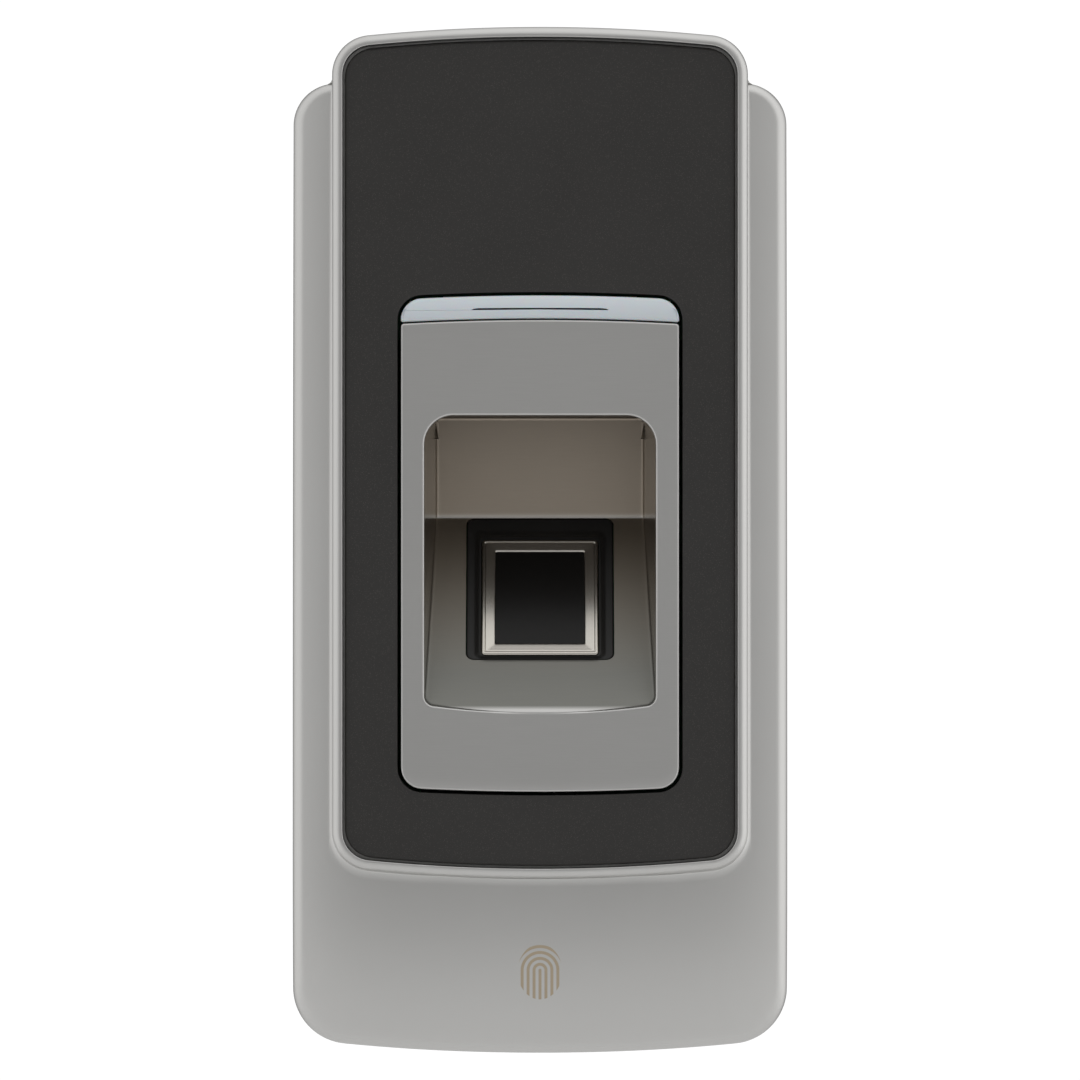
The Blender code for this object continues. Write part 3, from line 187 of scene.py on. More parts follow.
def subtract(item, cutter):
    """Cut one object from another and remove the cutter."""
    step = item.modifiers.new("cut", "BOOLEAN")
    step.operation = "DIFFERENCE"
    step.solver = "EXACT"
    step.object = cutter
    apply_modifiers(item)
    bpy.data.objects.remove(cutter)
    tidy_mesh(item)


def settle(item, body, material, slot, *nodes):
    """Give a finished piece its body and its material, and hide the frame nodes it stands for; the slot argument is
    not used.
    """
    item.data.materials.clear()
    item.data.materials.append(material)
    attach(item, body)
    if nodes:
        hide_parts(*nodes)
    return item


# ---------------------------------------------------------------- outlines

def arc(centre_x, centre_z, radius, start, end, steps):
    """Points along an arc: centre + radius * (cos a, sin a) for evenly spaced angles a."""
    angle = np.linspace(start, end, steps + 1)
    return np.stack([centre_x + radius * np.cos(angle), centre_z + radius * np.sin(angle)], axis=-1)


def line(start, end, steps):
    return np.linspace(start, end, steps + 1)


def chain(*runs):
    """Runs of points end to end, leaving out each run's first point after the first run."""
    return np.concatenate([runs[0]] + [run[1:] for run in runs[1:]])


def bowed_end(half, height, radius, sag):
    """Centres and angles of a bowed end: crown radius and centre, corner centre, tangent angle."""
    chord = half - radius
    crown = (chord ** 2 + sag ** 2) / (2 * sag)
    crown_z = height - crown
    corner_z = crown_z + math.sqrt((crown - radius) ** 2 - chord ** 2)
    return crown, crown_z, chord, corner_z, math.atan2(corner_z - crown_z, chord)


def lower_runs(half, bottom, radius, sag, inset, crown_steps, corner_steps):
    """Right half of a lower end from the middle outwards: crown arc, then corner arc."""
    crown, crown_z, chord, corner_z, tangent = bowed_end(half, -bottom, radius, sag)
    return [arc(0, -crown_z, crown - inset, -math.pi / 2, -tangent, crown_steps),
            arc(chord, -corner_z, max(radius - inset, 1e-5), -tangent, 0, corner_steps)]


def upper_runs(half, top, radius, sag, inset, crown_steps, corner_steps):
    """Right half of an upper end from the side inwards: corner arc, then crown arc."""
    crown, crown_z, chord, corner_z, tangent = bowed_end(half, top, radius, sag)
    return [arc(chord, corner_z, max(radius - inset, 1e-5), 0, tangent, corner_steps),
            arc(0, crown_z, crown - inset, tangent, math.pi / 2, crown_steps)]


def whole(half_points):
    """Mirror a right half that runs from the bottom middle to the top middle into a closed loop."""
    left = half_points[-2:0:-1] * (-1, 1)
    return np.concatenate([half_points, left])


def distance_to(points, loop):
    """Shortest distance from each point to a closed loop of straight segments."""
    start = loop
    step = np.roll(loop, -1, axis=0) - start
    length = np.maximum((step ** 2).sum(axis=1), 1e-18)
    found = np.empty(len(points))
    for first in range(0, len(points), 4000):
        away = points[first:first + 4000, None, :] - start[None]
        share = np.clip((away * step).sum(axis=2) / length, 0, 1)
        gap = away - share[..., None] * step
        found[first:first + 4000] = np.sqrt((gap ** 2).sum(axis=2)).min(axis=1)
    return found


def outward(loop):
    """Outward unit normals of a closed counter-clockwise loop."""
    along = np.roll(loop, -1, axis=0) - np.roll(loop, 1, axis=0)
    normal = np.stack([along[:, 1], -along[:, 0]], axis=-1)
    return normal / np.maximum(np.linalg.norm(normal, axis=1, keepdims=True), 1e-12)


def lift(flat, depth):
    """Turn (x, z) points and depths from the wall into 3-D points."""
    depth = np.broadcast_to(depth, flat.shape[:-1])
    return np.stack([flat[..., 0], -depth, flat[..., 1]], axis=-1)


def quarter(radius, steps):
    """Quarter round as (inset, sunk) pairs, from the wall's end to the face's end."""
    angle = np.linspace(0, math.pi / 2, steps + 1)
    return np.stack([radius * (1 - np.cos(angle)), radius * (1 - np.sin(angle))], axis=-1)


# ---------------------------------------------------------------- housing

RUNS = {"crown": 40, "corner": 22, "side": 60, "wing": 26, "fillet": 8, "neck": 4, "top_corner": 20,
        "top_crown": 36}


def shell_depth(flat):
    """Front of the wings and the chin: a cubic fall across, two parabolas along, meeting at the crown."""
    x, z = flat[..., 0], flat[..., 1]
    crown_z = BOTTOM + CROWN_LIFT
    across = SIDE_FALL * np.abs(x / HALF_WIDTH) ** 3
    up = WING_FALL * (np.maximum(z - crown_z, 0) / (WING_TOP - crown_z)) ** 2
    down = CHIN_FALL * (np.maximum(crown_z - z, 0) / CROWN_LIFT) ** 2
    return RIM_DEPTH - CROWN_STEP - across - up - down


def plan_outline(inset, neck):
    """Outer plan of the housing: chin, side, wing top, a concave neck, then the raised body's top."""
    lower = lower_runs(HALF_WIDTH, BOTTOM, CHIN_RADIUS, CHIN_SAG, inset, RUNS["crown"], RUNS["corner"])
    wing_x, wing_z = HALF_WIDTH - WING_RADIUS, WING_TOP - WING_RADIUS
    radius = WING_RADIUS - inset
    body_x = RIM_HALF - inset
    neck_x = body_x + neck
    neck_z = wing_z + math.sqrt((radius + neck) ** 2 - (neck_x - wing_x) ** 2)
    meet = math.atan2(neck_z - wing_z, neck_x - wing_x)
    side = line((HALF_WIDTH - inset, lower[1][-1][1]), (HALF_WIDTH - inset, wing_z), RUNS["side"])
    wing = arc(wing_x, wing_z, radius, 0, meet, RUNS["wing"])
    fillet = arc(neck_x, neck_z, neck, meet + math.pi, math.pi, RUNS["fillet"])
    upper = upper_runs(RIM_HALF, TOP, RIM_RADIUS, RIM_SAG, inset, RUNS["top_crown"], RUNS["top_corner"])
    body = line((body_x, neck_z), (body_x, upper[0][0][1]), RUNS["neck"])
    return whole(chain(*lower, side, wing, fillet, body, *upper))


def rim_outline(inset):
    """The raised body's outline, point for point with the plan outline."""
    lower = lower_runs(RIM_HALF, RIM_BOTTOM, RIM_RADIUS, RIM_SAG, inset, RUNS["crown"], RUNS["corner"])
    upper = upper_runs(RIM_HALF, TOP, RIM_RADIUS, RIM_SAG, inset, RUNS["top_crown"], RUNS["top_corner"])
    x, low, high = RIM_HALF - inset, lower[1][-1][1], upper[0][0][1]
    wing_z = WING_TOP - WING_RADIUS
    stops = [low, wing_z, WING_TOP, WING_TOP + 0.7 * MM, high]
    counts = [RUNS["side"], RUNS["wing"], RUNS["fillet"], RUNS["neck"]]
    sides = [line((x, a), (x, b), n) for a, b, n in zip(stops, stops[1:], counts)]
    return whole(chain(*lower, *sides, *upper))


def draft_out(flat, depth, share):
    """Widen the raised body towards the wall by its casting draft."""
    widened = flat.copy()
    widened[:, 0] += np.sign(flat[:, 0]) * share * RIM_DRAFT * (RIM_DEPTH - depth) / (RIM_DEPTH - REAR_DEPTH)
    return widened


def housing_rows(sizes):
    """Rows of the housing's skin, from its back edge over the front and down the inside."""
    outer = plan_outline(0, sizes.neck_fillet)
    rim = rim_outline(0)
    span = np.linalg.norm(rim - outer, axis=1)
    on_body = span < 0.05 * MM
    body_share = np.clip(1 - span / (2 * MM), 0, 1)
    shell_loop = whole(chain(*lower_runs(HALF_WIDTH, BOTTOM, CHIN_RADIUS, CHIN_SAG, 0, 60, 40),
                             line((HALF_WIDTH, BOTTOM + CHIN_RADIUS), (HALF_WIDTH, WING_TOP - WING_RADIUS), 20),
                             arc(HALF_WIDTH - WING_RADIUS, WING_TOP - WING_RADIUS, WING_RADIUS, 0,
                                 math.pi / 2, 40), line((HALF_WIDTH - WING_RADIUS, WING_TOP), (0, WING_TOP), 4)))
    edge = sizes.edge_round
    head = RIM_DEPTH - sizes.rim_round
    base = np.where(on_body, shell_depth(rim), shell_depth(outer)) - edge
    foot_room = np.clip(0.9 * (head - shell_depth(rim)), 0.1 * MM, sizes.wall_fillet)
    rows = []
    for share in (0.0, 0.02, 0.06, 0.12, 0.25, 0.4, 0.6, 0.8, 1.0):
        depth = REAR_DEPTH + (base - REAR_DEPTH) * share
        pull = 0.15 * MM * max(0, 1 - share / 0.02)
        flat = draft_out(outer - outward(outer) * pull, depth, body_share)
        rows.append(lift(flat, depth))
    room = np.minimum(span / (edge + foot_room) * 0.9, 1.0)
    steps = []
    for inset, sunk in quarter(edge, 8)[1:]:
        steps.append(inset * room)
    ends = []
    for inset, sunk in quarter(1.0, 6)[1:-1][::-1]:
        ends.append(span - inset * foot_room * room)
    first, last = steps[-1], ends[0]
    middles = [first + (last - first) * share for share in np.linspace(0, 1, 22)[1:-1]]
    low_ring, high_ring = base, shell_depth(rim) + foot_room
    crossing = steps + middles + ends
    direction = (rim - outer) / np.maximum(span, 1e-9)[:, None]
    for number, travel in enumerate(crossing, 1):
        flat = outer + direction * travel[:, None]
        from_edge = distance_to(flat, shell_loop)
        from_rim = distance_to(flat, rim)
        inside = np.clip(edge - from_edge, 0, edge)
        sunk = edge - np.sqrt(np.maximum(edge ** 2 - inside ** 2, 0))
        near = np.clip(foot_room - from_rim, 0, foot_room)
        raised = foot_room - np.sqrt(np.maximum(foot_room ** 2 - near ** 2, 0))
        depth = shell_depth(flat) - sunk + raised
        wall = low_ring + (high_ring - low_ring) * number / (len(crossing) + 1)
        blend = np.clip(span / (0.6 * MM), 0, 1)
        depth = wall + (depth - wall) * blend
        rows.append(lift(draft_out(flat, depth, body_share), depth))
    for share in (0.0, 0.2, 0.5, 0.8, 1.0):
        depth = high_ring + (head - high_ring) * share
        rows.append(lift(draft_out(rim, depth, np.ones(len(rim))), depth))
    for inset, sunk in quarter(sizes.rim_round, 8)[1:]:
        rows.append(lift(rim_outline(inset), RIM_DEPTH - sunk))
    for inset, sunk in quarter(RIM_WIDTH - sizes.rim_round, 6)[:-1][::-1]:
        rows.append(lift(rim_outline(RIM_WIDTH - inset), RIM_DEPTH - sunk))
    recess = rim_outline(RIM_WIDTH)
    for depth in (RIM_DEPTH - 1.2 * MM, LEDGE_DEPTH):
        rows.append(lift(recess, depth))
    opening = rim_outline(RIM_WIDTH + LEDGE_WIDTH)
    rows.append(lift(opening, LEDGE_DEPTH))
    ceiling = LEDGE_DEPTH - LEDGE_THICKNESS
    rows.append(lift(opening, ceiling))
    cavity = plan_outline(SHELL_WALL, sizes.neck_fillet)
    for share in (0.25, 0.5, 0.75, 1.0):
        flat = opening + (cavity - opening) * share
        rows.append(lift(flat, np.minimum(shell_depth(flat) - SHELL_WALL, ceiling)))
    for depth in (20 * MM, 12 * MM, 6 * MM, REAR_DEPTH + 0.15 * MM, REAR_DEPTH):
        rows.append(lift(cavity, depth))
    return rows


def make_housing(sizes):
    housing = closed_tube("housing_casting", housing_rows(sizes), 50)
    centre = (SCREW_LOW + SCREW_HIGH) / 2
    bore = turned_points([(3.15, -3.0), (3.15, 1.0), (1.85, 1.2), (1.85, 5.0)], 40)
    cutter = capped_loft("security_bore", [row + (centre.x, centre.y, BOTTOM) for row in bore])
    subtract(housing, cutter)
    housing.data.set_sharp_from_angle(angle=math.radians(50))
    return housing


def turned_points(profile, sides):
    """Rings about the Z axis: one for each (radius, height) of a profile in millimetres."""
    angle = np.linspace(0, 2 * math.pi, sides, endpoint=False)
    ring = np.stack([np.cos(angle), np.sin(angle), np.zeros(sides)], axis=-1)
    return [ring * (radius * MM, radius * MM, 0) + (0, 0, height * MM) for radius, height in profile]


# ---------------------------------------------------------------- panel and light bar

def plate_outline(half, top, bottom, top_radius, bottom_radius, top_sag, bottom_sag, inset=0.0):
    """Bowed plate outline with a fixed number of points, so that two of them match."""
    lower = lower_runs(half, bottom, bottom_radius, bottom_sag, inset, 30, 18)
    upper = upper_runs(half, top, top_radius, top_sag, inset, 30, 18)
    side = line(lower[1][-1], upper[0][0], 40)
    return whole(chain(*lower, side, *upper))


def make_panel(sizes):
    """Plate with a rounded outer edge, deeper along the top, and a crisp opening."""
    def outer(inset):
        return plate_outline(PANEL_HIGH.x, PANEL_HIGH.z, PANEL_LOW.z, RIM_RADIUS - RIM_WIDTH, RIM_RADIUS - RIM_WIDTH,
                             RIM_SAG, RIM_SAG, inset)

    def opening(inset):
        gap = 0.4 * MM
        return plate_outline(GUIDE_HALF + gap, LENS_HIGH.z + gap, GUIDE_LOW.z - gap, GUIDE_RADIUS + gap,
                             GUIDE_RADIUS + gap, GUIDE_SAG, GUIDE_SAG, inset)

    thickness = 1.6 * MM
    rear = PANEL_DEPTH - thickness
    edge = outer(0)
    upper = np.clip((edge[:, 1] - (PANEL_HIGH.z - 2 * MM)) / (1.5 * MM), 0, 1)
    round_size = sizes.panel_round * (1 + 0.9 * upper)
    inward = outward(edge)
    rows = [lift(edge, rear), lift(edge, PANEL_DEPTH - round_size - 0.3 * MM)]
    for inset, sunk in quarter(1.0, 7):
        rows.append(lift(edge - inward * (inset * round_size)[:, None], PANEL_DEPTH - sunk * round_size))
    inner = edge - inward * round_size[:, None]
    lip = sizes.opening_round
    mouth = opening(-lip)
    for share in np.linspace(0, 1, 12)[1:]:
        rows.append(lift(inner + (mouth - inner) * share, PANEL_DEPTH))
    for inset, sunk in quarter(lip, 4)[::-1][1:]:
        rows.append(lift(opening(-inset), PANEL_DEPTH - sunk))
    rows.append(lift(opening(0), rear))
    return closed_tube("panel_plate", rows, 40)


def make_lens(sizes):
    """Light bar: a bowed block with softened edges."""
    radius = 0.3 * MM
    depth = -LENS_LOW.y

    def bar(inset):
        foot = GUIDE_HIGH.z - CREST_SAG + sizes.crest_gap
        flat = plate_outline(LENS_HIGH.x, LENS_HIGH.z, foot, GUIDE_RADIUS, 0.3 * MM, GUIDE_SAG, 0.02 * MM, inset)
        lower = flat[:, 1] < foot + 0.5 * MM
        flat[lower, 1] += CREST_SAG * (1 - (flat[lower, 0] / LENS_HIGH.x) ** 2)
        return flat

    rows = [lift(bar(0), -LENS_HIGH.y), lift(bar(0), depth - radius - 0.2 * MM)]
    rows += [lift(bar(inset), depth - sunk) for inset, sunk in quarter(radius, 5)]
    middle = np.array([0, (LENS_HIGH.z + LENS_LOW.z) / 2])
    face = bar(radius)
    for share in (0.8, 0.5, 0.2):
        rows.append(lift(np.stack([face[:, 0], middle[1] + (face[:, 1] - middle[1]) * share], axis=-1), depth))
    return capped_loft("light_bar", rows, 40)


# ---------------------------------------------------------------- finger guide

def soft_max(a, b, width):
    """The larger of two values, blended over a width where they meet."""
    share = np.clip(0.5 + 0.5 * (a - b) / width, 0, 1)
    return b + (a - b) * share + width * share * (1 - share)


def slope_depth(z, sizes):
    """Depth below the guide's face: zero, then the slope, then the upright back wall, blended."""
    floor = (z - POCKET_BOTTOM) * math.tan(POCKET_SLOPE)
    bent = -soft_max(-floor, -POCKET_DEPTH + 0 * z, sizes.crease_round)
    return soft_max(bent, 0 * z, sizes.pocket_edge)


def pocket_half_outline(counts, squared):
    """Right half of the pocket's edge in three runs, split in the middle of each corner."""
    lower = lower_runs(POCKET_HALF, POCKET_BOTTOM, POCKET_FOOT_RADIUS, POCKET_SAG, 0, counts[0], 8)
    x, top, small = POCKET_HALF, POCKET_TOP, POCKET_CORNER
    start = np.array([POCKET_HALF - POCKET_TOP_RADIUS, POCKET_TOP - POCKET_TOP_RADIUS])
    if squared:
        corner = chain(line((x, start[1]), (x, top - small), 9),
                       arc(x - small, top - small, small, 0, math.pi / 2, 6),
                       line((x - small, top), (start[0], top), 9))
    else:
        corner = arc(*start, POCKET_TOP_RADIUS, 0, math.pi / 2, 24)
    low_side = line((x, lower[1][-1][1]), (x, CREASE_Z - 0.5 * MM), counts[1])
    crease = line((x, CREASE_Z - 0.5 * MM), (x, CREASE_Z + 0.5 * MM), 12)
    high_side = line((x, CREASE_Z + 0.5 * MM), (x, start[1]), counts[2])
    upper = line((start[0], top), (0, top), counts[0] - 8)
    side = chain(lower[1][4:], low_side, crease, high_side, corner[:13])
    return chain(lower[0], lower[1][:5]), side, chain(corner[12:], upper)


def guide_face_outline(counts, inset):
    """The guide's outer edge, point for point with the pocket's edge."""
    crown, crown_z, chord, corner_z, tangent = bowed_end(GUIDE_HALF, -GUIDE_LOW.z, GUIDE_RADIUS, GUIDE_SAG)
    low_crown = arc(0, -crown_z, crown - inset, -math.pi / 2, -tangent, counts[0])
    low_corner = arc(chord, -corner_z, GUIDE_RADIUS - inset, -tangent, 0, 8)
    x, top = GUIDE_HALF - inset, GUIDE_HIGH.z - inset
    round_top = 0.35 * MM
    low_side = line((x, -corner_z), (x, CREASE_Z - 0.5 * MM), counts[1])
    crease = line((x, CREASE_Z - 0.5 * MM), (x, CREASE_Z + 0.5 * MM), 12)
    high_side = line((x, CREASE_Z + 0.5 * MM), (x, top - CREST_SAG - round_top), counts[2])
    corner = arc(x - round_top, top - round_top, round_top, 0, math.pi / 2, 24)
    upper = line((x - round_top, top), (0, top), counts[0] - 8)
    for run in (corner, upper):
        run[:, 1] -= CREST_SAG * (run[:, 0] / GUIDE_HALF) ** 2
    return (chain(low_crown, low_corner[:5]),
            chain(low_corner[4:], low_side, crease, high_side, corner[:13]), chain(corner[12:], upper))


def join_halves(runs):
    return whole(chain(*runs))


def pocket_interior(wall_loop, counts):
    """Fill the pocket: rows of nearly level points whose ends lie on the foot of the side walls."""
    across, up = counts
    half = len(wall_loop) // 2
    right = wall_loop[:half + 1]
    bottom, side, top = right[:across + 1], right[across:across + up + 1], right[across + up:]
    z = side[:, 1]
    low_weight = np.clip((CREASE_Z - z) / (CREASE_Z - z[0]), 0, 1) ** 2
    high_weight = np.clip((z - CREASE_Z) / (z[-1] - CREASE_Z), 0, 1) ** 2
    top = top[::-1]
    level = np.linspace(0, 1, across + 1)
    middle = 1 - low_weight - high_weight
    share = (middle[:, None] * level + low_weight[:, None] * bottom[:, 0] / bottom[-1, 0]
             + high_weight[:, None] * top[:, 0] / top[-1, 0])
    height = (z[:, None] + low_weight[:, None] * (bottom[:, 1] - bottom[-1, 1])
              + high_weight[:, None] * (top[:, 1] - top[-1, 1]))
    flat = np.stack([side[:, 0:1] * share, height], axis=-1)
    left = flat[:, :0:-1] * (-1, 1)
    return np.concatenate([left, flat], axis=1)


def pocket_rows(edge, cavity, sizes):
    """The pocket's wall as rows: a rounded edge, the lip, a step out to the cavity, then the drafted
    side walls down to a small fillet at the foot."""
    radius = sizes.pocket_edge
    out = outward(edge)
    floor = slope_depth(cavity[:, 1], sizes)
    room = np.minimum(sizes.foot_fillet, 0.4 * floor)
    lip = np.minimum(POCKET_LIP, floor - room)
    rows = []
    for away in (1.15, 1.0, 0.8, 0.6, 0.42, 0.28, 0.16, 0.07, 0.02, 0.0):
        ring = edge + out * radius * away
        over = radius - math.sqrt(max(radius ** 2 - (radius * (1 - away)) ** 2, 0)) if away < 1 else 0.0
        rows.append((ring, np.minimum(over, slope_depth(ring[:, 1], sizes))))
    for share in (0.5, 1.0):
        rows.append((edge, np.minimum(np.maximum(radius + (lip - radius) * share, 0), lip)))
    rows.append((cavity, lip))
    out = outward(cavity)
    for share in (0.05, 0.15, 0.3, 0.45, 0.6, 0.75, 0.9, 1.0):
        depth = lip + (floor - room - lip) * share
        shift = POCKET_DRAFT * np.clip((depth - POCKET_LIP) / (POCKET_DEPTH - POCKET_LIP), 0, 1)
        rows.append((cavity - out * (1, 0) * shift[:, None], depth))
    foot = rows[-1][0]
    for angle in np.linspace(0, math.pi / 2, 6)[1:]:
        ring = foot - out * (room * (1 - math.cos(angle)))[:, None]
        rows.append((ring, slope_depth(ring[:, 1], sizes) - room * (1 - math.sin(angle))))
    return rows


def make_guide(sizes):
    """Finger guide: a flat face round a pocket, as one sheet given a wall."""
    counts = (30, 50, 22)
    edge_runs = pocket_half_outline(counts, False)
    across, up = len(edge_runs[0]) - 1, len(edge_runs[1]) - 1
    rows = pocket_rows(join_halves(edge_runs), join_halves(pocket_half_outline(counts, True)), sizes)
    border = []
    for inset, sunk in quarter(sizes.guide_edge, 4):
        border.append((join_halves(guide_face_outline(counts, inset)), sunk))
    face, near = border[-1][0], rows[0][0]
    for share in np.linspace(0, 1, 9)[1:-1]:
        border.append((face + (near - face) * share, 0.0))
    skirt = [(border[0][0], 1.6 * MM), (border[0][0], 0.6 * MM)]
    rows = skirt + border + rows
    points = np.stack([lift(ring, GUIDE_DEPTH - depth) for ring, depth in rows])
    quads = grid_quads(len(points), points.shape[1], False, True)
    inner = pocket_interior(rows[-1][0], (across, up))
    flat = inner.reshape(-1, 2)
    inner_points = lift(flat, GUIDE_DEPTH - slope_depth(flat[:, 1], sizes))
    inner_quads = grid_quads(*inner.shape[:2], False, False) + points.shape[0] * points.shape[1]
    everything = np.concatenate([points.reshape(-1, 3), inner_points.reshape(-1, 3)])
    guide = mesh_object("finger_guide_casting", everything, np.concatenate([quads, inner_quads]), 40)
    step = guide.modifiers.new("wall", "SOLIDIFY")
    step.thickness = 0.6 * MM
    step.offset = -1.0
    apply_modifiers(guide)
    boot = boot_levels(0.12 * MM)
    subtract(guide, capped_loft("boot_cutter", [slope_ring(*boot, height) for height in (-4 * MM, 2 * MM)]))
    return guide


# ---------------------------------------------------------------- sensor

UP_SLOPE = np.array([0, math.sin(POCKET_SLOPE), math.cos(POCKET_SLOPE)])
OFF_SLOPE = np.array([0, -math.cos(POCKET_SLOPE), math.sin(POCKET_SLOPE)])
DIE_CENTRE_SUNK = 1.0 * MM
SENSOR_PLACE = np.array((DIE_LOW + DIE_HIGH) / 2) + OFF_SLOPE * DIE_CENTRE_SUNK
DIE_SIZE = np.array([10.8 * MM, 13.5 * MM])
RING_SIZE = DIE_SIZE + np.array([3.4 * MM, 3.7 * MM])
RING_SHIFT = -0.12 * MM
BOOT_FOOT = 0.3 * MM
BOOT_HEAD = 3.6 * MM
BOOT_SIDE = 1.8 * MM


def slope_ring(width, length, centre, radius, height, steps=8):
    """A rounded rectangle on the slope, lifted off it by a height."""
    runs = []
    for turn, (sx, sy) in enumerate(((1, 1), (-1, 1), (-1, -1), (1, -1))):
        start = turn * math.pi / 2
        runs.append(arc(sx * (width / 2 - radius), centre + sy * (length / 2 - radius), radius, start,
                        start + math.pi / 2, steps))
    flat = np.concatenate(runs)
    return (SENSOR_PLACE + flat[:, 0:1] * (1, 0, 0) + flat[:, 1:2] * UP_SLOPE + height * OFF_SLOPE)


def boot_levels(grow):
    """Width, length, centre and corner radius of the boot's outline, grown by a gap."""
    return (RING_SIZE[0] + 2 * (BOOT_SIDE + grow), RING_SIZE[1] + BOOT_FOOT + BOOT_HEAD + 2 * grow,
            (BOOT_HEAD - BOOT_FOOT) / 2, 0.9 * MM + grow)


def framed(name, levels, sharp=40.0):
    """A frame-shaped skin on the slope through levels of (width, length, centre, radius, height)."""
    return closed_tube(name, [slope_ring(*level) for level in levels], sharp)


def make_boot(sizes):
    """Rubber boot: flat border, a hollow bevel that rises to the ring, and a rounded lip."""
    width, length, centre, radius = boot_levels(0)
    levels = [(width, length, centre, radius, -1.9 * MM), (width, length, centre, radius, -0.12 * MM),
              (width - 0.08 * MM, length - 0.08 * MM, centre, radius, -0.04 * MM),
              (width - 0.25 * MM, length - 0.25 * MM, centre, radius, 0.0)]
    inner = (RING_SIZE[0] + 0.1 * MM, RING_SIZE[1] + 0.1 * MM, RING_SHIFT, 0.6 * MM)
    base = np.array([width - 0.3 * MM, length - 0.3 * MM, centre, radius])
    top = np.array([inner[0] + 0.1 * MM, inner[1] + 0.1 * MM, RING_SHIFT, 0.7 * MM])
    rise = 0.6 * MM
    for share in np.linspace(0.1, 1, 14):
        curve = np.clip((share - 0.45) / 0.5, 0, 1)
        height = rise * curve * curve * (3 - 2 * curve)
        levels.append((*(base + (top - base) * share), height))
    levels += [(*inner[:3], inner[3], rise - 0.1 * MM), (*inner[:3], inner[3], -1.9 * MM)]
    return framed("sensor_boot_moulding", levels)


def make_ring(sizes):
    """Metal frame round the sensor: rounded outside, a fine groove, a flat band and a rounded inner edge."""
    width, length = RING_SIZE
    rise = 0.8 * MM
    levels = [(width, length, RING_SHIFT, 0.5 * MM, -1.9 * MM),
              (width, length, RING_SHIFT, 0.5 * MM, rise - 0.3 * MM)]
    levels += [(width - 2 * inset, length - 2 * inset, RING_SHIFT, 0.5 * MM - 0.5 * inset, rise - sunk)
               for inset, sunk in quarter(0.2 * MM, 4)]
    for inset, height in ((0.3, 0.8), (0.34, 0.72), (0.42, 0.71), (0.46, 0.77), (0.55, 0.785), (0.7, 0.77),
                          (1.0, 0.75), (1.45, 0.72), (1.56, 0.71), (1.62, 0.69), (1.66, 0.65), (1.68, 0.58),
                          (1.7, 0.5), (1.7, -1.9)):
        levels.append((width - 2 * inset * MM, length - 2 * inset * MM, RING_SHIFT, 0.25 * MM, height * MM))
    return framed("sensor_ring_frame", levels, 50)


def make_die(sizes):
    """Sensor surface: a thin plate with a fine chamfer."""
    width, length = DIE_SIZE + 0.5 * MM
    rows = [slope_ring(width, length, RING_SHIFT, 0.15 * MM, -1.9 * MM, 4),
            slope_ring(width, length, RING_SHIFT, 0.15 * MM, 0.5 * MM, 4),
            slope_ring(width - 0.08 * MM, length - 0.08 * MM, RING_SHIFT, 0.12 * MM, 0.54 * MM, 4)]
    return capped_loft("sensor_surface", rows, 30)


# ---------------------------------------------------------------- finishes

def new_node(tree, kind, values=None, **links):
    """Add a node, set its inputs or properties from values, and link sockets by input name."""
    node = tree.nodes.new(kind)
    for key, value in (values or {}).items():
        if isinstance(key, int) or key in node.inputs:
            node.inputs[key].default_value = value
        else:
            setattr(node, key, value)
    for key, socket in links.items():
        tree.links.new(socket, node.inputs[key.replace("_", " ")])
    return node


def new_math(tree, operation, *terms):
    """A Math node over sockets and numbers; returns its result."""
    node = tree.nodes.new("ShaderNodeMath")
    node.operation = operation
    for index, term in enumerate(terms):
        if isinstance(term, (int, float)):
            node.inputs[index].default_value = term
        else:
            tree.links.new(term, node.inputs[index])
    return node.outputs[0]


def new_group(name, inputs, outputs):
    """An empty shader node group with named inputs (name, kind, default) and outputs (name, kind)."""
    tree = bpy.data.node_groups.new(name, "ShaderNodeTree")
    for label, kind, default in inputs:
        socket = tree.interface.new_socket(label, in_out="INPUT", socket_type="NodeSocket" + kind)
        if default is not None:
            socket.default_value = default
    for label, kind in outputs:
        tree.interface.new_socket(label, in_out="OUTPUT", socket_type="NodeSocket" + kind)
    return tree, tree.nodes.new("NodeGroupInput").outputs, tree.nodes.new("NodeGroupOutput").inputs


def grain_group():
    """Fine blasted grain under plating: a height, and a roughness that drifts over the surface."""
    tree, given, made = new_group("satin_grain", (
        ("Vector", "Vector", None), ("Grain Size", "Float", 0.0002), ("Roughness", "Float", 0.3),
        ("Variation", "Float", 0.06)), (("Roughness", "Float"), ("Height", "Float"), ("Cloud", "Float")))
    scale = new_math(tree, "DIVIDE", 1.0, given["Grain Size"])
    fine = new_node(tree, "ShaderNodeTexNoise", {"Detail": 3.0, "Roughness": 0.6}, Vector=given["Vector"],
                    Scale=scale)
    cloud = new_node(tree, "ShaderNodeTexNoise", {"Scale": 90.0, "Detail": 4.0}, Vector=given["Vector"])
    drift = new_math(tree, "MULTIPLY", new_math(tree, "SUBTRACT", cloud.outputs["Fac"], 0.5), given["Variation"])
    speck = new_math(tree, "MULTIPLY", new_math(tree, "SUBTRACT", fine.outputs["Fac"], 0.5),
                     new_math(tree, "MULTIPLY", given["Variation"], 1.5))
    total = new_math(tree, "ADD", given["Roughness"], new_math(tree, "ADD", drift, speck))
    tree.links.new(total, made["Roughness"])
    tree.links.new(fine.outputs["Fac"], made["Height"])
    tree.links.new(cloud.outputs["Fac"], made["Cloud"])
    return tree


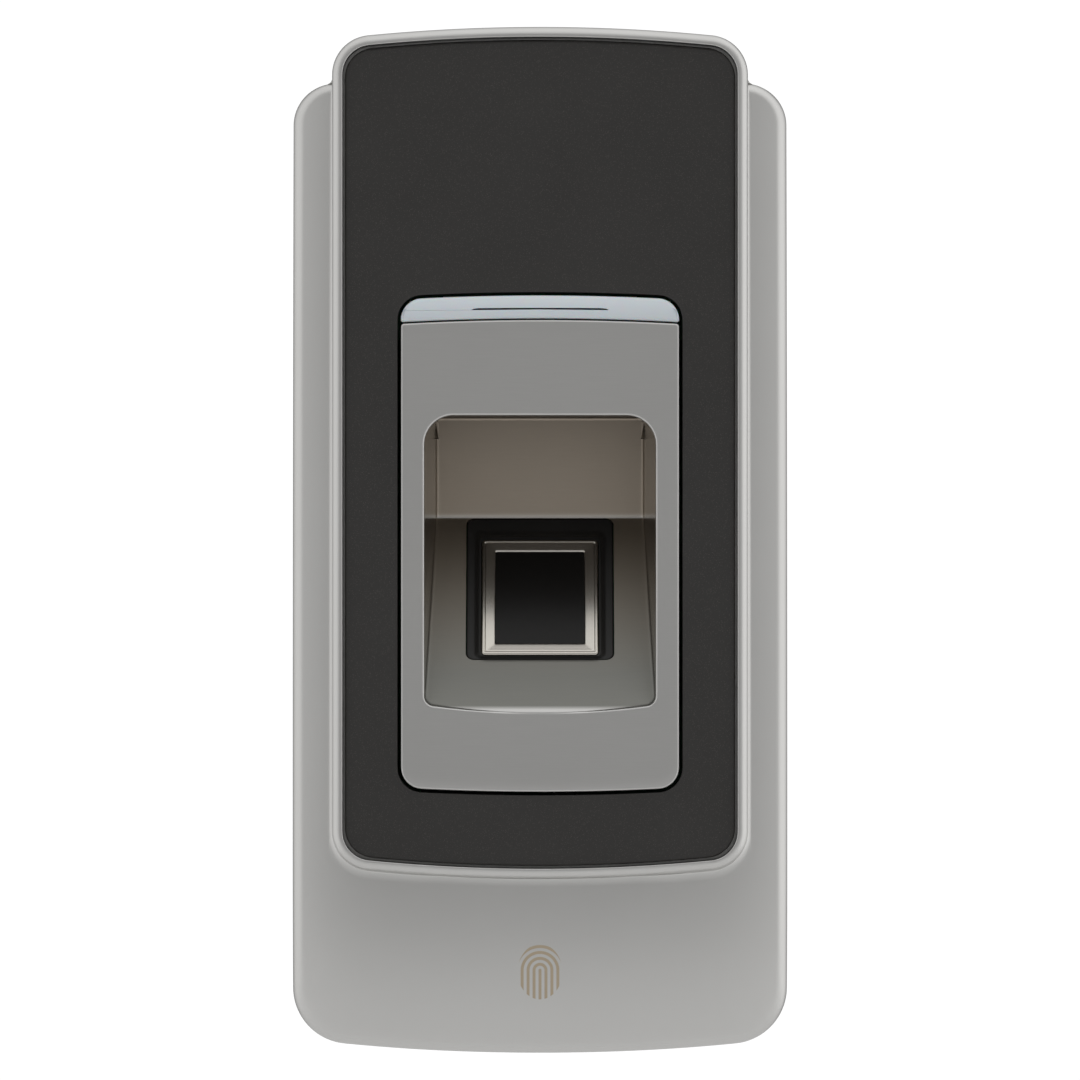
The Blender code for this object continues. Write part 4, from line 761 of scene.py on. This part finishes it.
def speckle_group():
    """Sparse bright flakes: small cells of which only a few pass a threshold."""
    tree, given, made = new_group("fine_flakes", (
        ("Vector", "Vector", None), ("Flake Size", "Float", 0.0002), ("Amount", "Float", 0.1)),
        (("Mask", "Float"),))
    scale = new_math(tree, "DIVIDE", 1.0, given["Flake Size"])
    cells = new_node(tree, "ShaderNodeTexVoronoi", {}, Vector=given["Vector"], Scale=scale)
    chance = new_node(tree, "ShaderNodeTexWhiteNoise", {}, Vector=cells.outputs["Position"])
    limit = new_math(tree, "SUBTRACT", 1.0, given["Amount"])
    picked = new_math(tree, "GREATER_THAN", chance.outputs["Value"], limit)
    spot = new_math(tree, "LESS_THAN", cells.outputs["Distance"], 0.35)
    tree.links.new(new_math(tree, "MULTIPLY", picked, spot), made["Mask"])
    return tree


def pocket_group():
    """Zones of the guide, used for the pocket's painted shade and highlight and for its duller roughness: inside the
    pocket by depth, how high up the floor, a painted highlight band just above the crease, the sides, and the
    downward-facing ceiling that gets a painted shade.
    """
    tree, given, made = new_group("pocket_zones", (
        ("Vector", "Vector", None), ("Normal", "Vector", None), ("Face", "Float", GUIDE_DEPTH),
        ("Crease", "Float", CREASE_Z)),
        (("Inside", "Float"), ("Floor", "Float"), ("Low", "Float"), ("Seam", "Float"), ("Side", "Float"),
         ("Ceiling Shade", "Float")))
    parts = new_node(tree, "ShaderNodeSeparateXYZ", {}, Vector=given["Vector"]).outputs
    facing = new_node(tree, "ShaderNodeSeparateXYZ", {}, Vector=given["Normal"]).outputs
    depth = new_math(tree, "ADD", given["Face"], parts["Y"])
    inside = new_node(tree, "ShaderNodeMapRange", {"From Min": 0.25 * MM, "From Max": 0.6 * MM}, Value=depth)
    below = new_math(tree, "SUBTRACT", given["Crease"], parts["Z"])
    low = new_node(tree, "ShaderNodeMapRange", {"From Min": 3 * MM, "From Max": 19 * MM}, Value=below)
    # Painted highlight: a band just above the crease, strongest at the crease, that is given a near-white colour.
    crease_highlight = new_node(tree, "ShaderNodeMapRange", {"From Min": -0.9 * MM, "From Max": -0.05 * MM}, Value=below)
    above = new_math(tree, "LESS_THAN", below, 0.06 * MM)
    side = new_node(tree, "ShaderNodeMapRange", {"From Min": 0.6, "From Max": 0.9},
                    Value=new_math(tree, "ABSOLUTE", facing["X"]))
    # Mask of the downward-facing pocket ceiling, which is given a painted shade.
    ceiling = new_node(tree, "ShaderNodeMapRange", {"From Min": -0.6, "From Max": -0.9}, Value=facing["Z"])
    tree.links.new(ceiling.outputs[0], made["Ceiling Shade"])
    tree.links.new(inside.outputs[0], made["Inside"])
    tree.links.new(new_math(tree, "GREATER_THAN", below, 0.06 * MM), made["Floor"])
    tree.links.new(low.outputs[0], made["Low"])
    edge = new_math(tree, "POWER", crease_highlight.outputs[0], 3.0)
    tree.links.new(new_math(tree, "MULTIPLY", edge, above), made["Seam"])
    tree.links.new(side.outputs[0], made["Side"])
    return tree


def brushed_group():
    """Level brushing: noise drawn out along X."""
    tree, given, made = new_group("brushed_lines", (
        ("Vector", "Vector", None), ("Stretch", "Float", 0.02), ("Pitch", "Float", 0.0001)), (("Height", "Float"),))
    parts = new_node(tree, "ShaderNodeSeparateXYZ", {}, Vector=given["Vector"]).outputs
    along = new_math(tree, "MULTIPLY", parts["X"], given["Stretch"])
    drawn = new_node(tree, "ShaderNodeCombineXYZ", {}, X=along, Y=parts["Y"], Z=parts["Z"]).outputs[0]
    lines = new_node(tree, "ShaderNodeTexNoise", {"Detail": 2.0}, Vector=drawn,
                     Scale=new_math(tree, "DIVIDE", 1.0, given["Pitch"]))
    tree.links.new(lines.outputs["Fac"], made["Height"])
    return tree


def mark_group():
    """Etched pictogram of nested arches: rings above a centre, straight legs below it, in an oval."""
    tree, given, made = new_group("etched_arches", (
        ("Vector", "Vector", None), ("Centre Height", "Float", -0.0521), ("Half Width", "Float", 0.0027),
        ("Pitch", "Float", 0.00072)), (("Mask", "Float"),))
    parts = new_node(tree, "ShaderNodeSeparateXYZ", {}, Vector=given["Vector"]).outputs
    x = parts["X"]
    z = new_math(tree, "SUBTRACT", parts["Z"], given["Centre Height"])
    above = new_math(tree, "MAXIMUM", new_math(tree, "SUBTRACT", z, 0.0002), 0.0)
    radius = new_math(tree, "SQRT", new_math(tree, "ADD", new_math(tree, "MULTIPLY", x, x),
                                             new_math(tree, "MULTIPLY", above, above)))
    phase = new_math(tree, "FRACT", new_math(tree, "ADD", new_math(tree, "DIVIDE", radius, given["Pitch"]), 0.25))
    ridge = new_math(tree, "LESS_THAN", phase, 0.5)
    wide = new_math(tree, "DIVIDE", x, given["Half Width"])
    tall = new_math(tree, "DIVIDE", z, new_math(tree, "MULTIPLY", given["Half Width"], 1.25))
    oval = new_math(tree, "LESS_THAN", new_math(tree, "ADD", new_math(tree, "MULTIPLY", wide, wide),
                                                new_math(tree, "MULTIPLY", tall, tall)), 1.0)
    front = new_math(tree, "LESS_THAN", parts["Y"], -0.02)
    tree.links.new(new_math(tree, "MULTIPLY", ridge, new_math(tree, "MULTIPLY", oval, front)), made["Mask"])
    return tree


def new_material(name):
    material = bpy.data.materials.new(name)
    material.use_nodes = True
    tree = material.node_tree
    shader = tree.nodes["Principled BSDF"]
    place = new_node(tree, "ShaderNodeTexCoord").outputs["Object"]
    return material, tree, shader, place


def use_group(tree, name, values, **links):
    node = new_node(tree, "ShaderNodeGroup", {"node_tree": bpy.data.node_groups[name]})
    for key, value in values.items():
        node.inputs[key].default_value = value
    for key, socket in links.items():
        tree.links.new(socket, node.inputs[key])
    return node.outputs


def bump(tree, shader, height, strength, distance):
    node = new_node(tree, "ShaderNodeBump", {"Strength": strength, "Distance": distance}, Height=height)
    tree.links.new(node.outputs["Normal"], shader.inputs["Normal"])


def mix_colour(tree, share, first, second):
    """Mix two colours, each a socket or an RGB triple, by a share socket."""
    node = tree.nodes.new("ShaderNodeMix")
    node.data_type = "RGBA"
    sockets = [socket for socket in node.inputs if socket.type == "RGBA"]
    for socket, value in zip(sockets, (first, second)):
        if isinstance(value, bpy.types.NodeSocket):
            tree.links.new(value, socket)
        else:
            socket.default_value = (*value, 1.0)
    tree.links.new(share, node.inputs[0])
    return [socket for socket in node.outputs if socket.type == "RGBA"][0]


def metal_material(name, colour, roughness, grain=0.00012, variation=0.03, depth=0.000004, mark=False):
    material, tree, shader, place = new_material(name)
    grain_out = use_group(tree, "satin_grain", {"Grain Size": grain, "Roughness": roughness,
                                                "Variation": variation}, Vector=place)
    shader.inputs["Metallic"].default_value = 1.0
    darker = tuple(channel * 0.97 for channel in colour)
    base = mix_colour(tree, grain_out["Cloud"], darker, colour)
    rough = grain_out["Roughness"]
    if mark:
        mask = use_group(tree, "etched_arches", {}, Vector=place)["Mask"]
        base = mix_colour(tree, mask, base, bpy.context.scene.scanner_finish.etched)
        rough = new_math(tree, "ADD", rough, new_math(tree, "MULTIPLY", mask, 0.3))
    tree.links.new(base, shader.inputs["Base Color"])
    tree.links.new(rough, shader.inputs["Roughness"])
    bump(tree, shader, grain_out["Height"], 0.3, depth)
    return material


def multiply_colour(tree, first, second):
    product = new_node(tree, "ShaderNodeMix", {"data_type": "RGBA", "blend_type": "MULTIPLY"})
    product.inputs[0].default_value = 1.0
    sockets = [socket for socket in product.inputs if socket.type == "RGBA"]
    tree.links.new(first, sockets[0])
    tree.links.new(second, sockets[1])
    return [socket for socket in product.outputs if socket.type == "RGBA"][0]


def guide_material(name, colour, roughness, finish):
    """Satin plating on the face; inside the pocket a duller, level-brushed finish with painted shade: darker, warmer
    painted tones on the walls, floor, sides and ceiling, and a painted highlight along the crease.
    """
    material, tree, shader, place = new_material(name)
    grain_out = use_group(tree, "satin_grain", {"Grain Size": 0.00012, "Roughness": roughness,
                                                "Variation": 0.03}, Vector=place)
    facing = new_node(tree, "ShaderNodeNewGeometry").outputs["True Normal"]
    pocket = use_group(tree, "pocket_zones", {}, Vector=place, Normal=facing)
    lines = use_group(tree, "brushed_lines", {}, Vector=place)["Height"]
    shader.inputs["Metallic"].default_value = 1.0
    # Painted shade inside the pocket: the sloped floor goes from one painted tone high up to another at its lower
    # end, the upright walls get a darker, warmer painted shade, and the sides and the downward-facing ceiling get
    # their own painted shade.
    floor = mix_colour(tree, pocket["Low"], tuple(finish.pocket_floor_shade), tuple(finish.pocket_foot_shade))
    inside = mix_colour(tree, pocket["Floor"], tuple(finish.pocket_wall_shade), floor)
    # Painted highlight: near-white colour along the crease.
    inside = mix_colour(tree, pocket["Seam"], inside, (1.0, 0.97, 0.92))
    inside = mix_colour(tree, pocket["Side"], inside, tuple(finish.pocket_side_shade))
    inside = mix_colour(tree, pocket["Ceiling Shade"], inside, tuple(finish.pocket_ceiling_shade))
    base = mix_colour(tree, pocket["Inside"], colour, inside)
    streak = mix_colour(tree, lines, (0.92, 0.92, 0.92), (1.0, 1.0, 1.0))
    tree.links.new(multiply_colour(tree, base, streak), shader.inputs["Base Color"])
    dull = new_math(tree, "MULTIPLY", pocket["Inside"], new_math(tree, "SUBTRACT", 0.12, new_math(
        tree, "MULTIPLY", pocket["Side"], 0.3)))
    tree.links.new(new_math(tree, "ADD", grain_out["Roughness"], dull), shader.inputs["Roughness"])
    bump(tree, shader, lines, 0.3, 0.000006)
    return material


def plastic_material(name, colour, roughness, grain=0.00025, variation=0.1, depth=0.00001, flakes=0.0,
                     flake_colour=(0.055, 0.05, 0.045), specular=0.5):
    material, tree, shader, place = new_material(name)
    shader.inputs["Specular IOR Level"].default_value = specular
    grain_out = use_group(tree, "satin_grain", {"Grain Size": grain, "Roughness": roughness,
                                                "Variation": variation}, Vector=place)
    lighter = tuple(min(channel * 1.18 + 0.002, 1.0) for channel in colour)
    base = mix_colour(tree, grain_out["Cloud"], colour, lighter)
    if flakes:
        mask = use_group(tree, "fine_flakes", {"Flake Size": 0.00013, "Amount": flakes}, Vector=place)["Mask"]
        base = mix_colour(tree, mask, base, flake_colour)
    tree.links.new(base, shader.inputs["Base Color"])
    tree.links.new(grain_out["Roughness"], shader.inputs["Roughness"])
    bump(tree, shader, grain_out["Height"], 0.4, depth)
    return material


def lens_material(name, colour):
    material, tree, shader, place = new_material(name)
    grain_out = use_group(tree, "satin_grain", {"Grain Size": 0.0004, "Roughness": 0.3, "Variation": 0.06},
                          Vector=place)
    parts = new_node(tree, "ShaderNodeSeparateXYZ", {}, Vector=place).outputs
    # Painted shade and highlight: the light bar's colour darkens to 0.8 of its tone towards the bottom and is
    # lightest at the top.
    height = new_node(tree, "ShaderNodeMapRange", {"From Min": LENS_LOW.z, "From Max": LENS_HIGH.z},
                      Value=parts["Z"]).outputs[0]
    base = mix_colour(tree, height, tuple(channel * 0.8 for channel in colour), colour)
    tree.links.new(base, shader.inputs["Base Color"])
    tree.links.new(grain_out["Roughness"], shader.inputs["Roughness"])
    shader.inputs["Subsurface Weight"].default_value = 0.3
    shader.inputs["Subsurface Scale"].default_value = 0.001
    bump(tree, shader, grain_out["Height"], 0.1, 0.00001)
    return material


FINISHES = {}


def make_finishes(finish):
    grain_group()
    speckle_group()
    pocket_group()
    brushed_group()
    mark_group()
    metal = tuple(finish.metal)
    FINISHES.update({
        "housing": metal_material("satin_casting", metal, finish.metal_roughness, mark=True),
        "guide": guide_material("satin_guide", metal, finish.metal_roughness - 0.02,
                                finish),
        "ring": metal_material("polished_ring", (0.62, 0.59, 0.54), 0.2, variation=0.03),
        "steel": metal_material("zinc_plated_steel", (0.58, 0.58, 0.56), 0.38, 0.0004, 0.14),
        "panel": plastic_material("flecked_black_panel", tuple(finish.panel), 0.5, flakes=0.3),
        "rear": plastic_material("moulded_black", (0.02, 0.02, 0.021), 0.55, 0.0003, 0.12, 0.00003),
        "boot": plastic_material("boot_rubber", (0.012, 0.0115, 0.011), 0.5, 0.0002, 0.1),
        "die": plastic_material("sensor_coating", (0.006, 0.0055, 0.005), 0.25, 0.0005, 0.04, 0.000002,
                                specular=0.25),
        "lens": lens_material("frosted_light_bar", tuple(finish.lens)),
        "board": plastic_material("solder_mask", (0.02, 0.12, 0.05), 0.4, 0.0004, 0.1),
        "chip": plastic_material("moulded_epoxy", (0.02, 0.02, 0.02), 0.55, 0.0003),
        "nylon": plastic_material("white_nylon", (0.7, 0.69, 0.64), 0.45, 0.0005),
        "film": plastic_material("amber_film", (0.35, 0.15, 0.03), 0.3, 0.001),
    })


# ---------------------------------------------------------------- settings

class ScannerSizes(bpy.types.PropertyGroup):
    edge_round: FloatProperty(name="Front edge", description="Rounding of the housing's front edge",
                              default=1.2 * MM, unit="LENGTH")
    wall_fillet: FloatProperty(name="Rim foot", description="Fillet where the rim's wall meets the wings",
                               default=0.35 * MM, unit="LENGTH")
    neck_fillet: FloatProperty(name="Wing neck", description="Fillet between wing top and raised body",
                               default=0.9 * MM, unit="LENGTH")
    rim_round: FloatProperty(name="Rim", description="Rounding of the rim's outer edge",
                             default=1.13 * MM, unit="LENGTH")
    panel_round: FloatProperty(name="Panel edge", description="Rounding of the panel's outer edge",
                               default=0.35 * MM, unit="LENGTH")
    opening_round: FloatProperty(name="Opening edge", description="Rounding of the panel's opening",
                                 default=0.15 * MM, unit="LENGTH")
    pocket_edge: FloatProperty(name="Pocket edge", description="Rounding of the pocket's edge",
                               default=0.3 * MM, unit="LENGTH")
    crease_round: FloatProperty(name="Crease", description="Rounding where slope and back wall meet",
                                default=0.2 * MM, unit="LENGTH")
    crest_gap: FloatProperty(name="Crest gap", description="Gap between the light bar and the guide",
                             default=0.16 * MM, unit="LENGTH")
    foot_fillet: FloatProperty(name="Pocket foot", description="Fillet where the pocket's sides end",
                               default=0.35 * MM, unit="LENGTH")
    guide_edge: FloatProperty(name="Guide edge", description="Rounding of the guide's outer edge",
                              default=0.25 * MM, unit="LENGTH")


class ScannerFinish(bpy.types.PropertyGroup):
    metal: FloatVectorProperty(name="Metal", description="Colour of the plated castings",
                               default=(0.62, 0.615, 0.6), subtype="COLOR")
    metal_roughness: FloatProperty(name="Metal roughness", description="Roughness of the satin plating",
                                   default=0.4, subtype="FACTOR")
    # Painted shade: darker, warmer tone for the pocket's upright walls.
    pocket_wall_shade: FloatVectorProperty(name="Pocket wall", description="Colour of the pocket's upright walls",
                                     default=(0.50, 0.435, 0.36), subtype="COLOR")
    # Painted shade: tone of the pocket's sloped floor high up.
    pocket_floor_shade: FloatVectorProperty(name="Pocket floor", description="Colour of the pocket's sloped floor",
                                      default=(0.36, 0.31, 0.25), subtype="COLOR")
    # Painted shade and light: tone of the sloped floor's lower end.
    pocket_foot_shade: FloatVectorProperty(name="Pocket foot", description="Colour of the floor's lower end",
                                     default=(0.26, 0.26, 0.24), subtype="COLOR")
    # Painted shade: tone of the pocket's side walls.
    pocket_side_shade: FloatVectorProperty(name="Pocket side", description="Colour of the pocket's side walls",
                                     default=(0.42, 0.40, 0.37), subtype="COLOR")
    # Painted shade: near-black tone of the pocket's downward-facing ceiling.
    pocket_ceiling_shade: FloatVectorProperty(name="Pocket ceiling", description="Colour of the pocket's ceiling",
                                        default=(0.09, 0.08, 0.07), subtype="COLOR")
    panel: FloatVectorProperty(name="Panel", description="Colour of the flecked black panel",
                               default=(0.022, 0.0205, 0.019), subtype="COLOR")
    lens: FloatVectorProperty(name="Light bar", description="Colour of the frosted light bar",
                              default=(0.80, 0.86, 0.90), subtype="COLOR")
    etched: FloatVectorProperty(name="Etching", description="Colour of the etched pictogram",
                                default=(0.55, 0.47, 0.36), subtype="COLOR")


class ScannerStage(bpy.types.PropertyGroup):
    distance: FloatProperty(name="Camera distance", description="Camera to the shell's front",
                            default=1.1, unit="LENGTH")
    span: FloatProperty(name="View width", description="Width of the view at the shell's front",
                        default=131.04 * MM, unit="LENGTH")
    floor_drop: FloatProperty(name="Floor drop", description="Floor below the terminal's lower edge",
                              default=420 * MM, unit="LENGTH")


# ---------------------------------------------------------------- operators

class SCANNER_OT_finishes(bpy.types.Operator):
    """Make the terminal's materials"""
    bl_idname = "scanner.finishes"
    bl_label = "Finishes"

    def execute(self, context):
        make_finishes(context.scene.scanner_finish)
        return {"FINISHED"}


class SCANNER_OT_housing(bpy.types.Operator):
    """Make the die-cast housing with its wings, chin and rim"""
    bl_idname = "scanner.housing"
    bl_label = "Housing"

    def execute(self, context):
        item = make_housing(context.scene.scanner_sizes)
        settle(item, "terminal", FINISHES["housing"], "satin_plated_zinc", "front_housing")
        return {"FINISHED"}


class SCANNER_OT_panel(bpy.types.Operator):
    """Make the flecked panel and the light bar"""
    bl_idname = "scanner.panel"
    bl_label = "Panel and light bar"

    def execute(self, context):
        sizes = context.scene.scanner_sizes
        settle(make_panel(sizes), "terminal", FINISHES["panel"], "black_metallic_plastic", "front_panel")
        settle(make_lens(sizes), "terminal", FINISHES["lens"], "lens_plastic", "indicator_lens")
        return {"FINISHED"}


class SCANNER_OT_guide(bpy.types.Operator):
    """Make the finger guide with its pocket"""
    bl_idname = "scanner.guide"
    bl_label = "Finger guide"

    def execute(self, context):
        item = make_guide(context.scene.scanner_sizes)
        settle(item, "terminal", FINISHES["guide"], "satin_plated_zinc", "finger_guide")
        return {"FINISHED"}


class SCANNER_OT_sensor(bpy.types.Operator):
    """Make the sensor, its metal ring and its boot"""
    bl_idname = "scanner.sensor"
    bl_label = "Sensor"

    def execute(self, context):
        sizes = context.scene.scanner_sizes
        settle(make_boot(sizes), "terminal", FINISHES["boot"], "black_rubber", "sensor_boot")
        settle(make_ring(sizes), "terminal", FINISHES["ring"], "satin_plated_zinc", "sensor_drive_ring")
        settle(make_die(sizes), "terminal", FINISHES["die"], "sensor_die_glass", "sensor_die")
        return {"FINISHED"}


SLOT_FINISH = {"satin_plated_zinc": "housing", "black_metallic_plastic": "panel", "rear_plastic": "rear",
               "lens_plastic": "lens", "black_rubber": "boot", "sensor_die_glass": "die",
               "circuit_board": "board", "component_black": "chip", "connector_white": "nylon",
               "flex_film": "film", "plated_steel": "steel"}


class SCANNER_OT_inner(bpy.types.Operator):
    """Give every piece carried over from the frame its finish"""
    bl_idname = "scanner.inner"
    bl_label = "Inner pieces"

    def execute(self, context):
        slots = {entry["node"]: entry["material_slot"] for entry in frame["record"]["subparts"]}
        for name, node in frame["nodes"].items():
            node.data.materials.clear()
            node.data.materials.append(FINISHES[SLOT_FINISH[slots[name]]])
        return {"FINISHED"}


class SCANNER_OT_stage(bpy.types.Operator):
    """Make the floor, the soft light and the camera"""
    bl_idname = "scanner.stage"
    bl_label = "Stage"

    def execute(self, context):
        stage = context.scene.scanner_stage
        make_floor(stage)
        make_world(context.scene)
        make_camera(context.scene, stage)
        return {"FINISHED"}


def make_floor(stage):
    """A large pale disc below the terminal."""
    height = BOTTOM - stage.floor_drop
    rows = [ring + (0, 0, height) for ring in turned_points([(0.01, 0), (300, 0), (850, 0)], 96)]
    points = np.stack(rows)
    floor = mesh_object("floor", points, grid_quads(len(rows), 96, False, True))
    if floor.data.polygons[0].normal.z < 0:
        floor.data.flip_normals()
    material, tree, shader, place = new_material("pale_floor")
    cloud = new_node(tree, "ShaderNodeTexNoise", {"Scale": 4.0}, Vector=place)
    tree.links.new(mix_colour(tree, cloud.outputs["Fac"], (0.86, 0.86, 0.86), (0.9, 0.9, 0.9)),
                   shader.inputs["Base Color"])
    shader.inputs["Roughness"].default_value = 0.9
    floor.data.materials.append(material)


def make_world(scene):
    """Soft tent light: dim straight in front and behind, brighter to the sides, above and below."""
    world = bpy.data.worlds.new("soft_tent")
    world.use_nodes = True
    tree = world.node_tree
    scene.world = world
    background = tree.nodes["Background"]
    direction = new_node(tree, "ShaderNodeTexCoord").outputs["Generated"]
    parts = new_node(tree, "ShaderNodeSeparateXYZ", {}, Vector=direction).outputs

    def ramp(value, low, high, start, end):
        return new_node(tree, "ShaderNodeMapRange", {"interpolation_type": "SMOOTHSTEP", "From Min": low,
                                                     "From Max": high, "To Min": start, "To Max": end},
                        Value=value).outputs[0]

    dim = new_math(tree, "MULTIPLY", ramp(parts["X"], 0.6, 0.8, 1.0, 0.0), ramp(parts["X"], -0.78, -0.46, 0.0, 1.0))
    dim = new_math(tree, "MULTIPLY", dim, ramp(parts["Z"], 0.5, 0.7, 1.0, 0.0))
    dim = new_math(tree, "MULTIPLY", dim, ramp(parts["Z"], -0.6, -0.2, 0.0, 1.0))
    glow = new_math(tree, "ADD", new_math(tree, "MULTIPLY", dim, -0.66), 1.0)
    behind = ramp(parts["Y"], 0.3, 0.8, 1.0, 0.45)
    right = ramp(parts["X"], -0.5, 0.5, 0.92, 1.1)
    lit = new_math(tree, "MULTIPLY", new_math(tree, "MULTIPLY", glow, behind), right)
    seen = new_node(tree, "ShaderNodeLightPath").outputs["Is Camera Ray"]
    total = new_math(tree, "ADD", new_math(tree, "MULTIPLY", lit, new_math(tree, "SUBTRACT", 1.0, seen)),
                     new_math(tree, "MULTIPLY", seen, 1.05))
    tree.links.new(total, background.inputs["Strength"])
    background.inputs["Color"].default_value = (1, 1, 1, 1)


def make_camera(scene, stage):
    data = bpy.data.cameras.new("camera")
    camera = bpy.data.objects.new("camera", data)
    scene.collection.objects.link(camera)
    data.sensor_width = 36.0
    data.lens = 36.0 * stage.distance / stage.span
    front = RIM_DEPTH - 6 * MM
    camera.location = (0, -(front + stage.distance), 0.12 * MM)
    camera.rotation_euler = (math.pi / 2, 0, 0)
    data.clip_end = 20.0
    scene.camera = camera
    scene.view_settings.view_transform = "Standard"


STEPS = ("finishes", "inner", "housing", "panel", "guide", "sensor", "stage")


class SCANNER_PT_panel(bpy.types.Panel):
    """Sidebar panel that lists the steps"""
    bl_idname = "SCANNER_PT_panel"
    bl_label = "Fingerprint scanner terminal"
    bl_space_type = "VIEW_3D"
    bl_region_type = "UI"
    bl_category = "Scanner"

    def draw(self, context):
        for step in STEPS:
            self.layout.operator("scanner." + step)
        for group in (context.scene.scanner_sizes, context.scene.scanner_finish, context.scene.scanner_stage):
            for name in group.__annotations__:
                self.layout.prop(group, name)


CLASSES = (ScannerSizes, ScannerFinish, ScannerStage, SCANNER_OT_finishes, SCANNER_OT_inner,
           SCANNER_OT_housing, SCANNER_OT_panel, SCANNER_OT_guide, SCANNER_OT_sensor, SCANNER_OT_stage,
           SCANNER_PT_panel)


def register():
    for item in CLASSES:
        bpy.utils.register_class(item)
    bpy.types.Scene.scanner_sizes = PointerProperty(type=ScannerSizes)
    bpy.types.Scene.scanner_finish = PointerProperty(type=ScannerFinish)
    bpy.types.Scene.scanner_stage = PointerProperty(type=ScannerStage)


def unregister():
    del bpy.types.Scene.scanner_stage
    del bpy.types.Scene.scanner_finish
    del bpy.types.Scene.scanner_sizes
    for item in reversed(CLASSES):
        bpy.utils.unregister_class(item)


def main():
    register()
    for step in STEPS:
        getattr(bpy.ops.scanner, step)()


if __name__ == "__main__":
    main()
